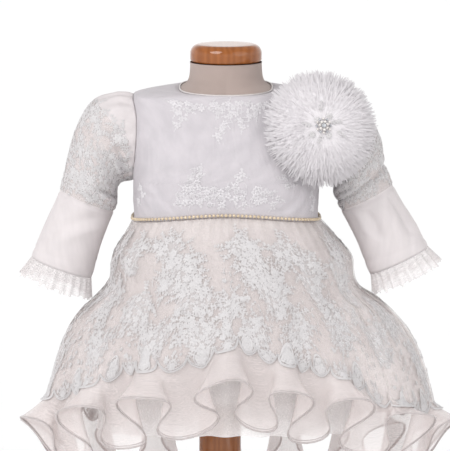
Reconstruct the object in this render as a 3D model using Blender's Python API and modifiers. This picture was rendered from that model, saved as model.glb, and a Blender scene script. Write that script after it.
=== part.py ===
"""A christening gown on a limbless child's dress form.

Lengths below are in millimetres and angles in degrees, and put_mesh turns them into metres.
The gown's front faces -Y and its wearer's left is +X. The stand rests on z = 0, its pole on the
Z axis. An angle round the body is 0 at the front, 90 at the wearer's left and 180 at the back.
Heights of the gown are measured from its waist seam at the sides, upwards.
"""

import math

import bmesh
import bpy
from mathutils import Matrix, Vector
from mathutils.bvhtree import BVHTree

MM = 0.001

WAIST_Z = 400.0
BODY_X = 6.0
CLOTH = 1.2
SHEER = 1.0
SEAM = 0.3

BASE_RADIUS = 115.0
BASE_THICK = 22.0
POLE_RADIUS = 21.0
TORSO_FOOT = -150.0
NECK_TOP = 158.0
CAP_THICK = 17.5
CAP_RADIUS = 35.6

ARMHOLE_MIDDLE = 83.5
ARMHOLE_HALF_HEIGHT = 42.5
ARMHOLE_HALF_ANGLE = 20.0
ARMHOLE_STEPS = 10
ELBOW_SEAM = 6
FRONT_SPANS = 16
BODY_POWER = 2.8

CUFF_GATHERS = 22
FRILL_LENGTH = 19.0
LEFT_SLEEVE_SWING = 6.0

COARSE = 3
FINE = 9
FLUTE_TURN = 2.0
FLUTE_OUT = 46.0
FLUTE_NECK_OUT = -20.0
FLUTE_LIFT = 54.0
LACE_ON_FLUTE = 14.0
SCALLOP_COLUMNS = 3
SCALLOP_NOTCH = 0.12
LACE_OFFSET = 1.45
NET_FOLDS = 20
LINING_FOLDS = 12

POMPOM_RADIUS = 60.0
POMPOM_CORE = 13.0
POMPOM_AXIS = Vector((0.12, -0.95, 0.22)).normalized()
POMPOM_CLEAR = 1.5
WIDEST_LEAN = 103.0
BUTTON_HEIGHTS = (24.0, 52.0, 80.0, 108.0)


def table(columns, *rows):
    """Named columns of numbers, one row for each section. The first column says where the section lies."""
    named = {name: [row[i] for row in rows] for i, name in enumerate(columns)}
    named["place"] = named[columns[0]]
    return named


BODICE = table(
    ("height", "width", "front", "back", "lift"),
    (0.0, 91.5, 72.0, 70.0, 12.0),
    (20.0, 91.5, 74.0, 70.5, 9.0),
    (41.0, 92.0, 74.5, 71.0, 5.0),
    (60.0, 92.5, 73.0, 71.0, 2.0),
    (83.5, 93.0, 67.0, 69.0, 0.0),
    (105.0, 93.0, 56.5, 62.0, 0.0),
    (120.0, 93.0, 48.5, 53.0, 0.0),
    (126.0, 91.5, 45.0, 48.0, -1.0),
    (129.0, 79.0, 43.5, 45.5, -2.0),
    (131.0, 62.0, 42.0, 43.0, -3.0),
    (132.0, 46.0, 41.0, 41.0, -4.0),
)

TORSO = table(
    ("height", "width", "front", "back", "power"),
    (-150.0, 60.0, 48.0, 50.0, 2.0),
    (-146.0, 66.0, 53.0, 55.0, 2.0),
    (-110.0, 80.0, 62.0, 66.0, 2.2),
    (-60.0, 86.0, 66.5, 66.0, 2.4),
    (-20.0, 85.0, 64.5, 62.5, 2.6),
    (0.0, 84.0, 64.0, 61.5, 2.8),
    (41.0, 87.0, 68.8, 66.0, 2.8),
    (83.5, 89.0, 62.0, 65.0, 2.8),
    (105.0, 89.0, 52.0, 57.5, 2.8),
    (117.0, 88.5, 44.5, 49.5, 2.8),
    (121.5, 86.5, 41.5, 44.5, 2.8),
    (125.0, 76.5, 40.0, 42.0, 2.6),
    (127.5, 58.0, 39.0, 40.0, 2.3),
    (131.5, 43.8, 38.6, 39.2, 2.0),
    (138.0, 38.8, 37.6, 38.2, 2.0),
    (146.0, 36.4, 36.2, 36.4, 2.0),
    (156.0, 35.8, 35.8, 35.8, 2.0),
    (NECK_TOP, 36.0, 36.0, 36.0, 2.0),
)

SLEEVE = table(
    ("section", "outer_x", "outer_z", "inner_x", "inner_z", "depth", "forward"),
    (1, 108.0, 127.5, 102.0, 39.5, 33.0, 0.0),
    (2, 127.0, 122.5, 106.5, 37.5, 35.0, 0.0),
    (3, 142.0, 106.0, 108.5, 33.5, 35.5, 1.0),
    (4, 152.5, 80.0, 109.5, 27.5, 34.5, 2.0),
    (5, 158.0, 56.5, 110.5, 20.0, 32.5, 3.0),
    (6, 166.0, 29.5, 113.0, 9.0, 29.5, 4.0),
    (7, 177.0, 4.0, 118.5, -6.0, 28.0, 6.0),
    (8, 186.0, -16.0, 125.5, -25.0, 27.0, 8.0),
    (9, 194.4, -35.5, 134.0, -57.5, 26.5, 10.0),
)

SKIRT = table(
    ("depth", "right", "left", "front", "back", "power"),
    (0.0, 91.5, 91.5, 72.0, 70.0, 2.8),
    (6.0, 94.5, 98.0, 76.0, 75.0, 2.7),
    (18.0, 102.0, 109.0, 84.0, 86.0, 2.5),
    (40.0, 114.5, 127.0, 97.0, 104.0, 2.3),
    (60.0, 117.0, 130.0, 106.0, 117.0, 2.2),
    (73.0, 125.0, 140.0, 112.0, 125.0, 2.1),
    (84.0, 137.0, 159.0, 117.0, 131.0, 2.1),
    (100.0, 154.0, 176.0, 123.0, 140.0, 2.0),
    (120.0, 167.0, 191.0, 131.0, 151.0, 2.0),
    (160.0, 181.0, 208.0, 144.0, 171.0, 2.0),
    (200.0, 193.0, 219.0, 155.0, 190.0, 2.0),
    (260.0, 208.0, 232.0, 170.0, 214.0, 2.0),
)

HEM = table(
    ("angle", "lace", "edge"),
    (-180.0, 250.0, 312.0),
    (-140.0, 236.0, 298.0),
    (-110.0, 212.0, 274.0),
    (-90.0, 192.0, 256.0),
    (-70.0, 172.0, 240.0),
    (-57.0, 158.0, 226.0),
    (-44.0, 141.0, 213.0),
    (-25.0, 134.0, 205.0),
    (-10.0, 128.0, 196.0),
    (4.0, 111.0, 188.0),
    (15.0, 122.0, 194.0),
    (27.0, 131.0, 204.0),
    (47.0, 147.0, 213.0),
    (56.0, 163.0, 220.0),
    (63.0, 182.0, 232.0),
    (80.0, 193.0, 248.0),
    (110.0, 213.0, 274.0),
    (140.0, 236.0, 298.0),
    (180.0, 250.0, 312.0),
)

# Each flute of the hem has its peak's angle, and the depth of the skirt's fold in the valley after it.
FLUTES = (
    (-169.0, 10.0),
    (-147.0, 8.0),
    (-125.0, 12.0),
    (-103.0, 9.0),
    (-81.0, 12.0),
    (-58.0, 15.0),
    (-34.0, 4.0),
    (1.0, 3.0),
    (26.0, 13.0),
    (46.0, 11.0),
    (66.0, 10.0),
    (87.0, 9.0),
    (108.0, 11.0),
    (130.0, 8.0),
    (151.0, 11.0),
    (171.0, 9.0),
)
FRONT_FLUTES = (4, 12)
FOLD_HALF_ANGLE = 9.0

PETTICOAT = table(
    ("depth", "width", "front", "back", "power"),
    (0.0, 88.5, 69.3, 66.9, 2.8),
    (20.0, 98.0, 78.0, 78.0, 2.5),
    (50.0, 105.0, 86.0, 89.0, 2.3),
    (100.0, 115.0, 92.0, 101.0, 2.1),
    (160.0, 122.0, 95.0, 109.0, 2.0),
    (230.0, 127.0, 98.0, 114.0, 2.0),
)
PETTICOAT_HEM = (202.0, 226.0)
LINING_HEM = (172.0, 199.0)
LINING_INSIDE = 1.8
LINING_INSIDE_AT_HEM = 8.0

# Bouquets of corded lace stand this much proud of the cloth.
# Each has its angle, its depth below the waist, its half angle and its half depth.
LACE_RELIEF = 0.7
SKIRT_BOUQUETS = (
    (-25.0, 55.0, 17.0, 45.0),
    (-12.0, 95.0, 12.0, 40.0),
    (22.0, 40.0, 13.0, 38.0),
    (34.0, 85.0, 10.0, 30.0),
    (4.0, 88.0, 12.0, 26.0),
    (-52.0, 60.0, 10.0, 45.0),
    (62.0, 90.0, 12.0, 50.0),
    (-78.0, 120.0, 12.0, 50.0),
    (88.0, 130.0, 14.0, 50.0),
    (-115.0, 110.0, 14.0, 60.0),
    (118.0, 110.0, 14.0, 60.0),
    (-150.0, 110.0, 14.0, 60.0),
    (152.0, 110.0, 14.0, 60.0),
    (180.0, 150.0, 12.0, 60.0),
)
# The same on the bodice, but by height above the waist.
BODICE_APPLIQUES = (
    (-6.0, 16.0, 30.0, 20.0),
    (28.0, 10.0, 14.0, 14.0),
    (-38.0, 122.0, 30.0, 16.0),
    (12.0, 116.0, 36.0, 22.0),
)


def read(source, name, at):
    """A table's column at a place along its first column, on a smooth curve that never overshoots."""
    place, value = source["place"], source[name]
    at = min(max(at, place[0]), place[-1])
    i = max(0, min(len(place) - 2, sum(1 for x in place if x <= at) - 1))
    slopes = [(value[k + 1] - value[k]) / (place[k + 1] - place[k]) for k in range(len(place) - 1)]

    def tangent(k):
        if k == 0:
            return slopes[0]
        if k == len(place) - 1:
            return slopes[-1]
        before, after = slopes[k - 1], slopes[k]
        return 2 * before * after / (before + after) if before * after > 0 else 0.0

    span = place[i + 1] - place[i]
    t = (at - place[i]) / span
    return (
        value[i] * (1 + 2 * t) * (1 - t) ** 2
        + tangent(i) * span * t * (1 - t) ** 2
        + value[i + 1] * t * t * (3 - 2 * t)
        + tangent(i + 1) * span * t * t * (t - 1)
    )


def turned_to_half(angle):
    """The same direction as an angle from -180 to 180."""
    return (angle + 180.0) % 360.0 - 180.0


def ring_radius(angle, right, left, front, back, power):
    """Distance from the middle of a rounded-box ring to its edge, in the direction of angle."""
    across, along = math.sin(math.radians(angle)), math.cos(math.radians(angle))
    width = left if across > 0 else right
    depth = front if along > 0 else back
    return (abs(across / width) ** power + abs(along / depth) ** power) ** (-1 / power)


def around(angle, radius, height):
    """The point at that angle, radius and height, round the body's axis."""
    turn = math.radians(angle)
    return Vector((BODY_X + radius * math.sin(turn), -radius * math.cos(turn), height))


def waist_lift(angle):
    """How much higher than at the sides the waist seam runs, over the belly."""
    return BODICE["lift"][0] * max(0.0, math.cos(math.radians(angle))) ** 1.5


def strip(upper, lower, closed, points, split=None):
    """Triangles between an upper and a lower row of numbers, which has a whole multiple of upper's spans.

    Where both have the same spans, each square is cut along its shorter diagonal, or, with split, along the
    one that leaves the top row at every split-th column.
    """
    spans = len(upper) if closed else len(upper) - 1
    times = (len(lower) if closed else len(lower) - 1) // spans
    faces = []
    for i in range(spans):
        a, b = upper[i], upper[(i + 1) % len(upper)]
        low = [lower[(i * times + j) % len(lower)] for j in range(times + 1)]
        middle = (times + 1) // 2
        if times == 1:
            from_first = (points[a] - points[low[1]]).length <= (points[b] - points[low[0]]).length
            if split:
                from_first = i % split != split - 1
            middle = 1 if from_first else 0
        faces += [(a, low[j], low[j + 1]) for j in range(middle)]
        faces.append((a, low[middle], b))
        faces += [(b, low[j], low[j + 1]) for j in range(middle, times)]
    return faces


def numbered(rows):
    """The rows' points in one list, and each row as its points' numbers."""
    points = [p for row in rows for p in row]
    starts = [sum(len(r) for r in rows[:i]) for i in range(len(rows))]
    return points, [list(range(s, s + len(r))) for s, r in zip(starts, rows)]


def row_normals(rows, closed):
    """For each point of the rows, the direction that faces out of the sheet there."""
    points, numbers = numbered(rows)
    bm = bmesh.new()
    verts = [bm.verts.new(p) for p in points]
    for upper, lower in zip(numbers, numbers[1:]):
        for face in strip(upper, lower, closed, points):
            bm.faces.new([verts[i] for i in face])
    bm.normal_update()
    out = [v.normal.copy() for v in verts]
    bm.free()
    return [[out[i] for i in row] for row in numbers]


def put_mesh(name, bm, material, smooth=True):
    """Makes an object of bm, from millimetres above the waist to metres above the floor."""
    bmesh.ops.recalc_face_normals(bm, faces=bm.faces)
    bmesh.ops.translate(bm, verts=bm.verts, vec=(0.0, 0.0, WAIST_Z))
    bmesh.ops.scale(bm, verts=bm.verts, vec=(MM, MM, MM))
    mesh = bpy.data.meshes.new(name)
    bm.to_mesh(mesh)
    bm.free()
    if smooth:
        mesh.shade_smooth()
        mesh.set_sharp_from_angle(angle=math.radians(50))
    mesh.materials.append(material)
    obj = bpy.data.objects.new(name, mesh)
    PARTS.objects.link(obj)
    return obj


def cloth_wall(name, rows, normals, inside, outside, closed, material, scalloped=None):
    """A closed wall of cloth: rows of points moved in by inside and out by outside.

    Either is a size, or a function of row and column. The strip above the row numbered scalloped is cut to
    suit scallops.
    """
    points, numbers = numbered(rows)
    faces = []
    for r, (upper, lower) in enumerate(zip(numbers, numbers[1:]), 1):
        faces += strip(upper, lower, closed, points, SCALLOP_COLUMNS if r == scalloped else None)
    count = len(points)

    def moved(amount, sign):
        place = []
        for r, row in enumerate(rows):
            for c, point in enumerate(row):
                size = amount(r, c) if callable(amount) else amount
                place.append(point + normals[r][c] * (sign * size))
        return place

    bm = bmesh.new()
    verts = [bm.verts.new(p) for p in moved(outside, 1) + moved(inside, -1)]
    for a, b, c in faces:
        bm.faces.new((verts[a], verts[b], verts[c]))
        bm.faces.new((verts[c + count], verts[b + count], verts[a + count]))
    used = {}
    for face in faces:
        for a, b in zip(face, face[1:] + face[:1]):
            used[(a, b)] = True
    for a, b in used:
        if (b, a) not in used:
            bm.faces.new((verts[b], verts[a], verts[a + count]))
            bm.faces.new((verts[b], verts[a + count], verts[b + count]))
    return put_mesh(name, bm, material)


def in_relief(patches, angle, place):
    """Whether a point lies in one of the patches of raised lace."""
    return any(
        (turned_to_half(angle - a) / half_angle) ** 2 + ((place - p) / half_place) ** 2 < 1.0
        for a, p, half_angle, half_place in patches
    )


def surface_material(name, colour, roughness, sheen=0.0, alpha=1.0):
    material = bpy.data.materials.new(name)
    material.use_nodes = True
    shader = material.node_tree.nodes["Principled BSDF"]
    shader.inputs["Base Color"].default_value = (*colour, 1.0)
    shader.inputs["Roughness"].default_value = roughness
    shader.inputs["Metallic"].default_value = 0.0
    shader.inputs["Sheen Weight"].default_value = sheen
    shader.inputs["Alpha"].default_value = alpha
    return material


def bodice_point(angle, height):
    """A point on the middle of the bodice's cloth."""
    width = read(BODICE, "width", height)
    front, back = read(BODICE, "front", height), read(BODICE, "back", height)
    lean = math.cos(math.radians(angle))
    lift = read(BODICE, "lift", height) * (lean if height > ARMHOLE_MIDDLE else max(0.0, lean) ** 1.5)
    return around(angle, ring_radius(angle, width, width, front, back, BODY_POWER), height + lift)


def bodice_out(angle, height):
    """The direction that faces out of the bodice's cloth at a point."""
    step = 0.8
    up = bodice_point(angle, min(132.0, height + step)) - bodice_point(angle, max(0.0, height - step))
    along = bodice_point(angle + step, height) - bodice_point(angle - step, height)
    return along.cross(up).normalized()


def armhole_heights():
    return [
        ARMHOLE_MIDDLE + ARMHOLE_HALF_HEIGHT * math.cos(math.pi * k / ARMHOLE_STEPS)
        for k in range(ARMHOLE_STEPS + 1)
    ]


def armhole_angle(height):
    """How far the armhole reaches to each side of the side seam at that height."""
    share = (height - ARMHOLE_MIDDLE) / ARMHOLE_HALF_HEIGHT
    return ARMHOLE_HALF_ANGLE * math.sqrt(max(0.0, 1.0 - share * share))


def bodice_panel(name, first, last, spans, material):
    """A bodice panel between two edges, given as angles. An edge at a side seam bends round the armhole."""
    heights = [132.0, 131.0, 129.0] + armhole_heights() + [28.0, 14.0, 0.3]
    rows, angles, normals = [], [], []
    for height in heights:
        hole = armhole_angle(height)
        ends = []
        for edge, into in ((first, 1), (last, -1)):
            gap = math.degrees(SEAM / 2 / max(40.0, read(BODICE, "width", height)))
            at_side = abs(abs(edge) - 90.0) < 1e-6
            ends.append(edge + into * ((hole if at_side else 0.0) + gap))
        row = [ends[0] + (ends[1] - ends[0]) * i / spans for i in range(spans + 1)]
        angles.append(row)
        rows.append([bodice_point(a, height) for a in row])
        normals.append([bodice_out(a, height) for a in row])

    def outside(r, c):
        clear_of_seams = 2 <= r < len(heights) - 1
        proud = clear_of_seams and in_relief(BODICE_APPLIQUES, angles[r][c], heights[r])
        return CLOTH / 2 + (LACE_RELIEF if proud else 0.0)

    return cloth_wall(name, rows, normals, CLOTH / 2, outside, False, material)


def armhole_ring(side):
    """The armhole's edge, from its top round the front, as points just outside the bodice's cloth."""
    ring = []
    for k in range(2 * ARMHOLE_STEPS):
        turn = math.pi * k / ARMHOLE_STEPS
        height = ARMHOLE_MIDDLE + ARMHOLE_HALF_HEIGHT * math.cos(turn)
        angle = 90.0 - ARMHOLE_HALF_ANGLE * math.sin(turn)
        point = bodice_point(angle, height) + bodice_out(angle, height) * (CLOTH / 2 + SEAM)
        ring.append(mirrored(point, side))
    return ring


def mirrored(point, side):
    """A point of the wearer's left, or the one across the body from it where side is -1."""
    return Vector((BODY_X + side * (point.x - BODY_X), point.y, point.z))


def sleeve_section(section, turn, swing):
    """A point of the wearer's left sleeve, on a section, turn radians from its outer side round the front."""
    outer = Vector((read(SLEEVE, "outer_x", section), 0.0, read(SLEEVE, "outer_z", section)))
    inner = Vector((read(SLEEVE, "inner_x", section), 0.0, read(SLEEVE, "inner_z", section)))
    depth, forward = read(SLEEVE, "depth", section), read(SLEEVE, "forward", section)
    middle, across = (outer + inner) / 2, (outer - inner) / 2
    point = middle + across * math.cos(turn) + Vector((0.0, -depth * math.sin(turn) - forward, 0.0))
    underarm = Vector((98.0, 0.0, 38.0))
    angle = math.radians(swing * min(1.0, section / 9.0))
    point = underarm + Matrix.Rotation(-angle, 3, "Y") @ (point - underarm)
    return point + Vector((BODY_X, 0.0, 0.0))


def sleeve_rows(side, swing):
    columns = 2 * ARMHOLE_STEPS
    rows = [armhole_ring(side)]
    for section in SLEEVE["section"]:
        ring = [sleeve_section(section, math.pi * k / ARMHOLE_STEPS, swing) for k in range(columns)]
        rows.append([mirrored(p, side) for p in ring])
    return rows if side > 0 else [row[:1] + row[:0:-1] for row in rows]


def sleeve(word, side, swing, material):
    """A long sleeve: an upper part with a full head, raised where lace lies on it, seamed to a lower part."""
    rows = sleeve_rows(side, swing)
    normals = row_normals(rows, True)
    above, seam, below = rows[ELBOW_SEAM - 1 : ELBOW_SEAM + 2]
    upper_edge = [p + (q - p).normalized() * SEAM / 2 for p, q in zip(seam, above)]
    lower_edge = [p + (q - p).normalized() * SEAM / 2 for p, q in zip(seam, below)]

    def outside(r, c):
        return CLOTH / 2 + (LACE_RELIEF if 3 <= r < ELBOW_SEAM else 0.0)

    upper = cloth_wall(
        f"sleeve_upper_{word}",
        rows[:ELBOW_SEAM] + [upper_edge],
        normals[: ELBOW_SEAM + 1],
        CLOTH / 2,
        outside,
        True,
        material,
    )
    cloth_wall(
        f"sleeve_lower_{word}",
        [lower_edge] + rows[ELBOW_SEAM + 1 :],
        normals[ELBOW_SEAM:],
        CLOTH / 2,
        CLOTH / 2,
        True,
        material,
    )
    return upper


def cuff_frill(name, side, swing, material):
    """A gathered frill of net, sewn to the cuff, which spreads as it leaves it."""
    columns = 3 * CUFF_GATHERS
    last = SLEEVE["section"][-1]
    turns = [2 * math.pi * c / columns for c in range(columns)]
    cuff = [sleeve_section(last, t, swing) for t in turns]
    before = [sleeve_section(last - 1, t, swing) for t in turns]
    middle = sum(cuff, Vector()) / columns
    along = (middle - sum(before, Vector()) / columns).normalized()
    rows = []
    for share, spread, wave in ((0.0, 0.985, 0.5), (1.0, 1.13, 2.2)):
        row = []
        for c, point in enumerate(cuff):
            out = point - middle
            ripple = wave * (1.0, -0.5, -0.5)[c % 3]
            reach = SEAM + 0.25 + share * FRILL_LENGTH
            row.append(middle + out * spread + out.normalized() * ripple + along * reach)
        rows.append([mirrored(p, side) for p in row])
    rows = rows if side > 0 else [row[:1] + row[:0:-1] for row in rows]
    return cloth_wall(name, rows, row_normals(rows, True), SHEER / 2, SHEER / 2, True, material)


def meander(columns):
    """A flute's edge from above, as (along, out) for each column. It swells past its neck."""
    steps = 30
    along, out, path = 0.0, 0.0, [(0.0, 0.0)]
    for i in range(columns * steps):
        heading = FLUTE_TURN * math.sin(2 * math.pi * (i + 0.5) / (columns * steps))
        along += math.cos(heading)
        out += math.sin(heading)
        path.append((along, out))
    highest = max(q for _, q in path)
    return [(2 * path[c * steps][0] / along - 1, path[c * steps][1] / highest) for c in range(columns)]


def flute_angles(number):
    """A flute's peak, and the valleys before and after it."""
    peak = FLUTES[number][0]
    before = FLUTES[number - 1][0] - (360.0 if number == 0 else 0.0)
    after = FLUTES[(number + 1) % len(FLUTES)][0] + (360.0 if number == len(FLUTES) - 1 else 0.0)
    return peak, (before + peak) / 2, (after + peak) / 2


def between(number, share):
    """The angle at a share of a flute, from -1 at the valley before it to 1 at the valley after it."""
    peak, before, after = flute_angles(number)
    return peak + share * ((peak - before) if share < 0 else (after - peak))


def fold_depth(angle, depth):
    """How far the skirt's long folds draw it in."""
    total = 0.0
    for number in range(len(FLUTES)):
        valley = flute_angles(number)[2]
        across = turned_to_half(angle - valley) / FOLD_HALF_ANGLE
        total += FLUTES[number][1] * math.exp(-across * across)
    return total * (max(0.0, depth) / 150.0) ** 1.2


def skirt_radius(angle, depth):
    sizes = [read(SKIRT, name, depth) for name in ("right", "left", "front", "back", "power")]
    return ring_radius(angle, *sizes) - fold_depth(angle, depth)


def skirt_point(number, share, down):
    """A point of the skirt above its flutes; down runs from 0 at the waist to 1 where the flutes start."""
    angle = between(number, share)
    top = waist_lift(angle) - 0.9
    foot = LACE_ON_FLUTE - read(HEM, "lace", turned_to_half(angle))
    height = top + (foot - top) * down
    return angle, skirt_radius(angle, top - height), height


def fluted_point(number, share, along, out, down):
    """A point of the fluted hem; down runs from 0 where the flutes start to 1 at the rolled edge."""
    angle, radius, height = skirt_point(number, share, 1.0)
    edge_angle = between(number, along)
    held = turned_to_half(edge_angle)
    lace = read(HEM, "lace", held)
    edge_radius = skirt_radius(edge_angle, lace) + FLUTE_NECK_OUT + FLUTE_OUT * out
    edge_height = FLUTE_LIFT * out - read(HEM, "edge", held)
    bend = down**1.4
    return around(
        angle + (edge_angle - angle) * bend,
        radius + (edge_radius - radius) * bend,
        height + (edge_height - height) * down,
    )


def skirt_rows():
    """Rows of points down the organza, from the waist to the rolled hem, and each point's (angle, depth)."""
    rows, places = [], []
    for down in (0.0, 0.14, 0.36, 0.6, 0.82):
        row, place = [], []
        for number in range(len(FLUTES)):
            for j in range(COARSE):
                angle, radius, height = skirt_point(number, -1 + 2 * j / COARSE, down)
                gather = 0.8 * (1 - down / 0.3) * (1 if j % 2 else -1) if down < 0.3 else 0.0
                row.append(around(angle, radius + gather, height))
                place.append((angle, -height))
        rows.append(row)
        places.append(place)
    path = meander(FINE)
    for down in (0.0, 0.15, 0.5, 1.0):
        row, place = [], []
        for number in range(len(FLUTES)):
            for j, (along, out) in enumerate(path):
                share = -1 + 2 * j / FINE
                row.append(fluted_point(number, share, along, out, down))
                place.append((between(number, share), -row[-1].z))
        rows.append(row)
        places.append(place)
    return rows, places


def panel_of(rows, first, last):
    """The part of every row from one flute to another, going round, its two edges drawn in by half a seam."""
    total = len(FLUTES)
    panel = []
    for row in rows:
        per = len(row) // total
        count = ((last - first) % total or total) * per
        panel.append([row[(first * per + i) % len(row)] for i in range(count + 1)])
    return panel


def drawn_in(panel):
    """The panel's rows with the first and last point moved in from the seam."""
    moved = []
    for row in panel:
        start = row[0] + (row[1] - row[0]).normalized() * SEAM / 2 * 1.3
        end = row[-1] + (row[-2] - row[-1]).normalized() * SEAM / 2 * 1.3
        moved.append([start] + row[1:-1] + [end])
    return moved


def skirt_panels(materials):
    """The fluted organza skirt and the lace over it, each in a front and a back panel."""
    rows, places = skirt_rows()
    normals = row_normals(rows, True)
    normals[0] = [Vector((n.x, n.y, 0.0)).normalized() for n in normals[0]]
    lace_rows = len(rows) - 2
    for word, first, last in (("front", *FRONT_FLUTES), ("back", *reversed(FRONT_FLUTES))):
        part = [drawn_in(panel_of(rows, first, last)), panel_of(normals, first, last)]
        where = panel_of(places, first, last)

        def rolled(r, c):
            return SHEER / 2 if r < len(rows) - 1 else SHEER

        cloth_wall(
            f"skirt_organza_{word}", *part, rolled, rolled, False, materials["organza"], lace_rows - 1
        )

        lace = [row[:] for row in part[0][:lace_rows]]
        lace[0] = [point.lerp(below, 0.08) for point, below in zip(lace[0], lace[1])]
        out = [row[:] for row in part[1][:lace_rows]]
        for c in range(0, len(lace[-1]), SCALLOP_COLUMNS):
            lace[-1][c] = lace[-2][c].lerp(lace[-1][c], SCALLOP_NOTCH)
            out[-1][c] = out[-2][c]

        def proud(r, c):
            in_valley = c % (FINE if len(lace[r]) > len(lace[0]) else COARSE) == 0
            raised = in_relief(SKIRT_BOUQUETS, *where[r][c]) or r >= lace_rows - 2
            return LACE_OFFSET + SHEER / 2 + (LACE_RELIEF if raised and not in_valley else 0.0)

        inside = -(LACE_OFFSET - SHEER / 2)
        cloth_wall(
            f"skirt_lace_{word}",
            lace,
            out,
            inside,
            proud,
            False,
            materials["lace"],
            lace_rows - 1,
        )


def petticoat_layer(name, hem, drawn, drawn_at_hem, folds, depth_of_fold, material):
    """An inner layer of the skirt that hangs straight from the waist, hem deep at the front and back."""
    columns = folds * 3
    rows = []
    for down in (0.0, 0.3, 0.65, 1.0):
        row = []
        for c in range(columns):
            angle = 360.0 * c / columns - 180.0
            lean = (1 - math.cos(math.radians(angle))) / 2
            deep = hem[0] + (hem[1] - hem[0]) * lean
            top = waist_lift(angle) - 1.2
            height = top + (-deep - top) * down
            sizes = [read(PETTICOAT, n, top - height) for n in ("width", "width", "front", "back", "power")]
            ripple = depth_of_fold * down * (1.0, -0.5, -0.5)[c % 3]
            inward = drawn + (drawn_at_hem - drawn) * down
            row.append(around(angle, ring_radius(angle, *sizes) - inward + ripple, height))
        rows.append(row)
    return cloth_wall(name, rows, row_normals(rows, True), SHEER / 2, SHEER / 2, True, material)


def torso(material):
    """The dress form's body and neck, one smooth closed solid."""
    columns = 28
    bm = bmesh.new()
    rings = []
    for i, height in enumerate(TORSO["height"]):
        ring = []
        for c in range(columns):
            angle = 360.0 * c / columns
            sizes = [TORSO[n][i] for n in ("width", "width", "front", "back", "power")]
            point = around(angle, ring_radius(angle, *sizes), height)
            if height > 120.0:
                point.z -= 3.0 * math.cos(math.radians(angle)) * max(0.0, 1 - abs(height - 131.5) / 9)
            ring.append(bm.verts.new(point))
        rings.append(ring)
    for low, high in zip(rings, rings[1:]):
        for c in range(columns):
            d = (c + 1) % columns
            bm.faces.new((low[c], low[d], high[d], high[c]))
    bm.faces.new(rings[0][::-1])
    bm.faces.new(rings[-1])
    return put_mesh("form_torso", bm, material)


def turned(name, profile, steps, material, place=Matrix.Identity(4)):
    """A turned piece: a profile of (radius, height) points down its outer side, spun round Z."""
    mesh = bpy.data.meshes.new(name)
    points = [(r * MM, 0.0, z * MM) for r, z in profile]
    mesh.from_pydata(points, [(i, i + 1) for i in range(len(points) - 1)], [])
    mesh.materials.append(material)
    obj = bpy.data.objects.new(name, mesh)
    PARTS.objects.link(obj)
    spin = obj.modifiers.new("spin", "SCREW")
    spin.axis = "Z"
    spin.steps = spin.render_steps = steps
    spin.use_merge_vertices = True
    spin.merge_threshold = 0.00001
    spin.use_smooth_shade = True
    obj.matrix_world = place
    return obj


def arc(centre, radius, start, end, steps):
    """Points of an arc in a turned profile, between two angles from the horizontal."""
    return [
        (
            centre[0] + radius * math.cos(math.radians(start + (end - start) * i / steps)),
            centre[1] + radius * math.sin(math.radians(start + (end - start) * i / steps)),
        )
        for i in range(steps + 1)
    ]


def stand(material):
    """Round base, pole and neck cap, all turned from wood."""
    edge = 7.0
    top = BASE_THICK - edge
    base = [(0.0, BASE_THICK)] + arc((BASE_RADIUS - edge, top), edge, 90, 0, 4)
    turned("form_base", base + [(BASE_RADIUS, 2.0), (BASE_RADIUS - 2.0, 0.0), (0.0, 0.0)], 32, material)

    foot, head = BASE_THICK + SEAM, WAIST_Z + TORSO_FOOT - SEAM
    turned("form_pole", [(0.0, head), (POLE_RADIUS, head), (POLE_RADIUS, foot), (0.0, foot)], 24, material)

    under = WAIST_Z + NECK_TOP + SEAM
    round_edge = 9.0
    cap = [(0.0, under + CAP_THICK), (CAP_RADIUS - round_edge, under + CAP_THICK)]
    cap += arc((CAP_RADIUS - round_edge, under + CAP_THICK - round_edge), round_edge, 70, 0, 3)
    cap += arc((CAP_RADIUS - 3.0, under + 3.0), 3.0, 0, -90, 3) + [(0.0, under)]
    turned("form_neck_cap", cap, 28, material, Matrix.Translation((BODY_X * MM, 0.0, 0.0)))


def round_cord(name, points, radius, sides, material):
    """A closed tube through the points."""
    data = bpy.data.curves.new(name, "CURVE")
    data.dimensions = "3D"
    spline = data.splines.new("POLY")
    spline.points.add(len(points) - 1)
    for slot, point in zip(spline.points, points):
        slot.co = (point.x * MM, point.y * MM, (point.z + WAIST_Z) * MM, 1.0)
    spline.use_cyclic_u = True
    data.bevel_depth = radius * MM
    data.bevel_resolution = (sides - 4) // 2
    data.materials.append(material)
    obj = bpy.data.objects.new(name, data)
    PARTS.objects.link(obj)
    return obj


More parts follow.
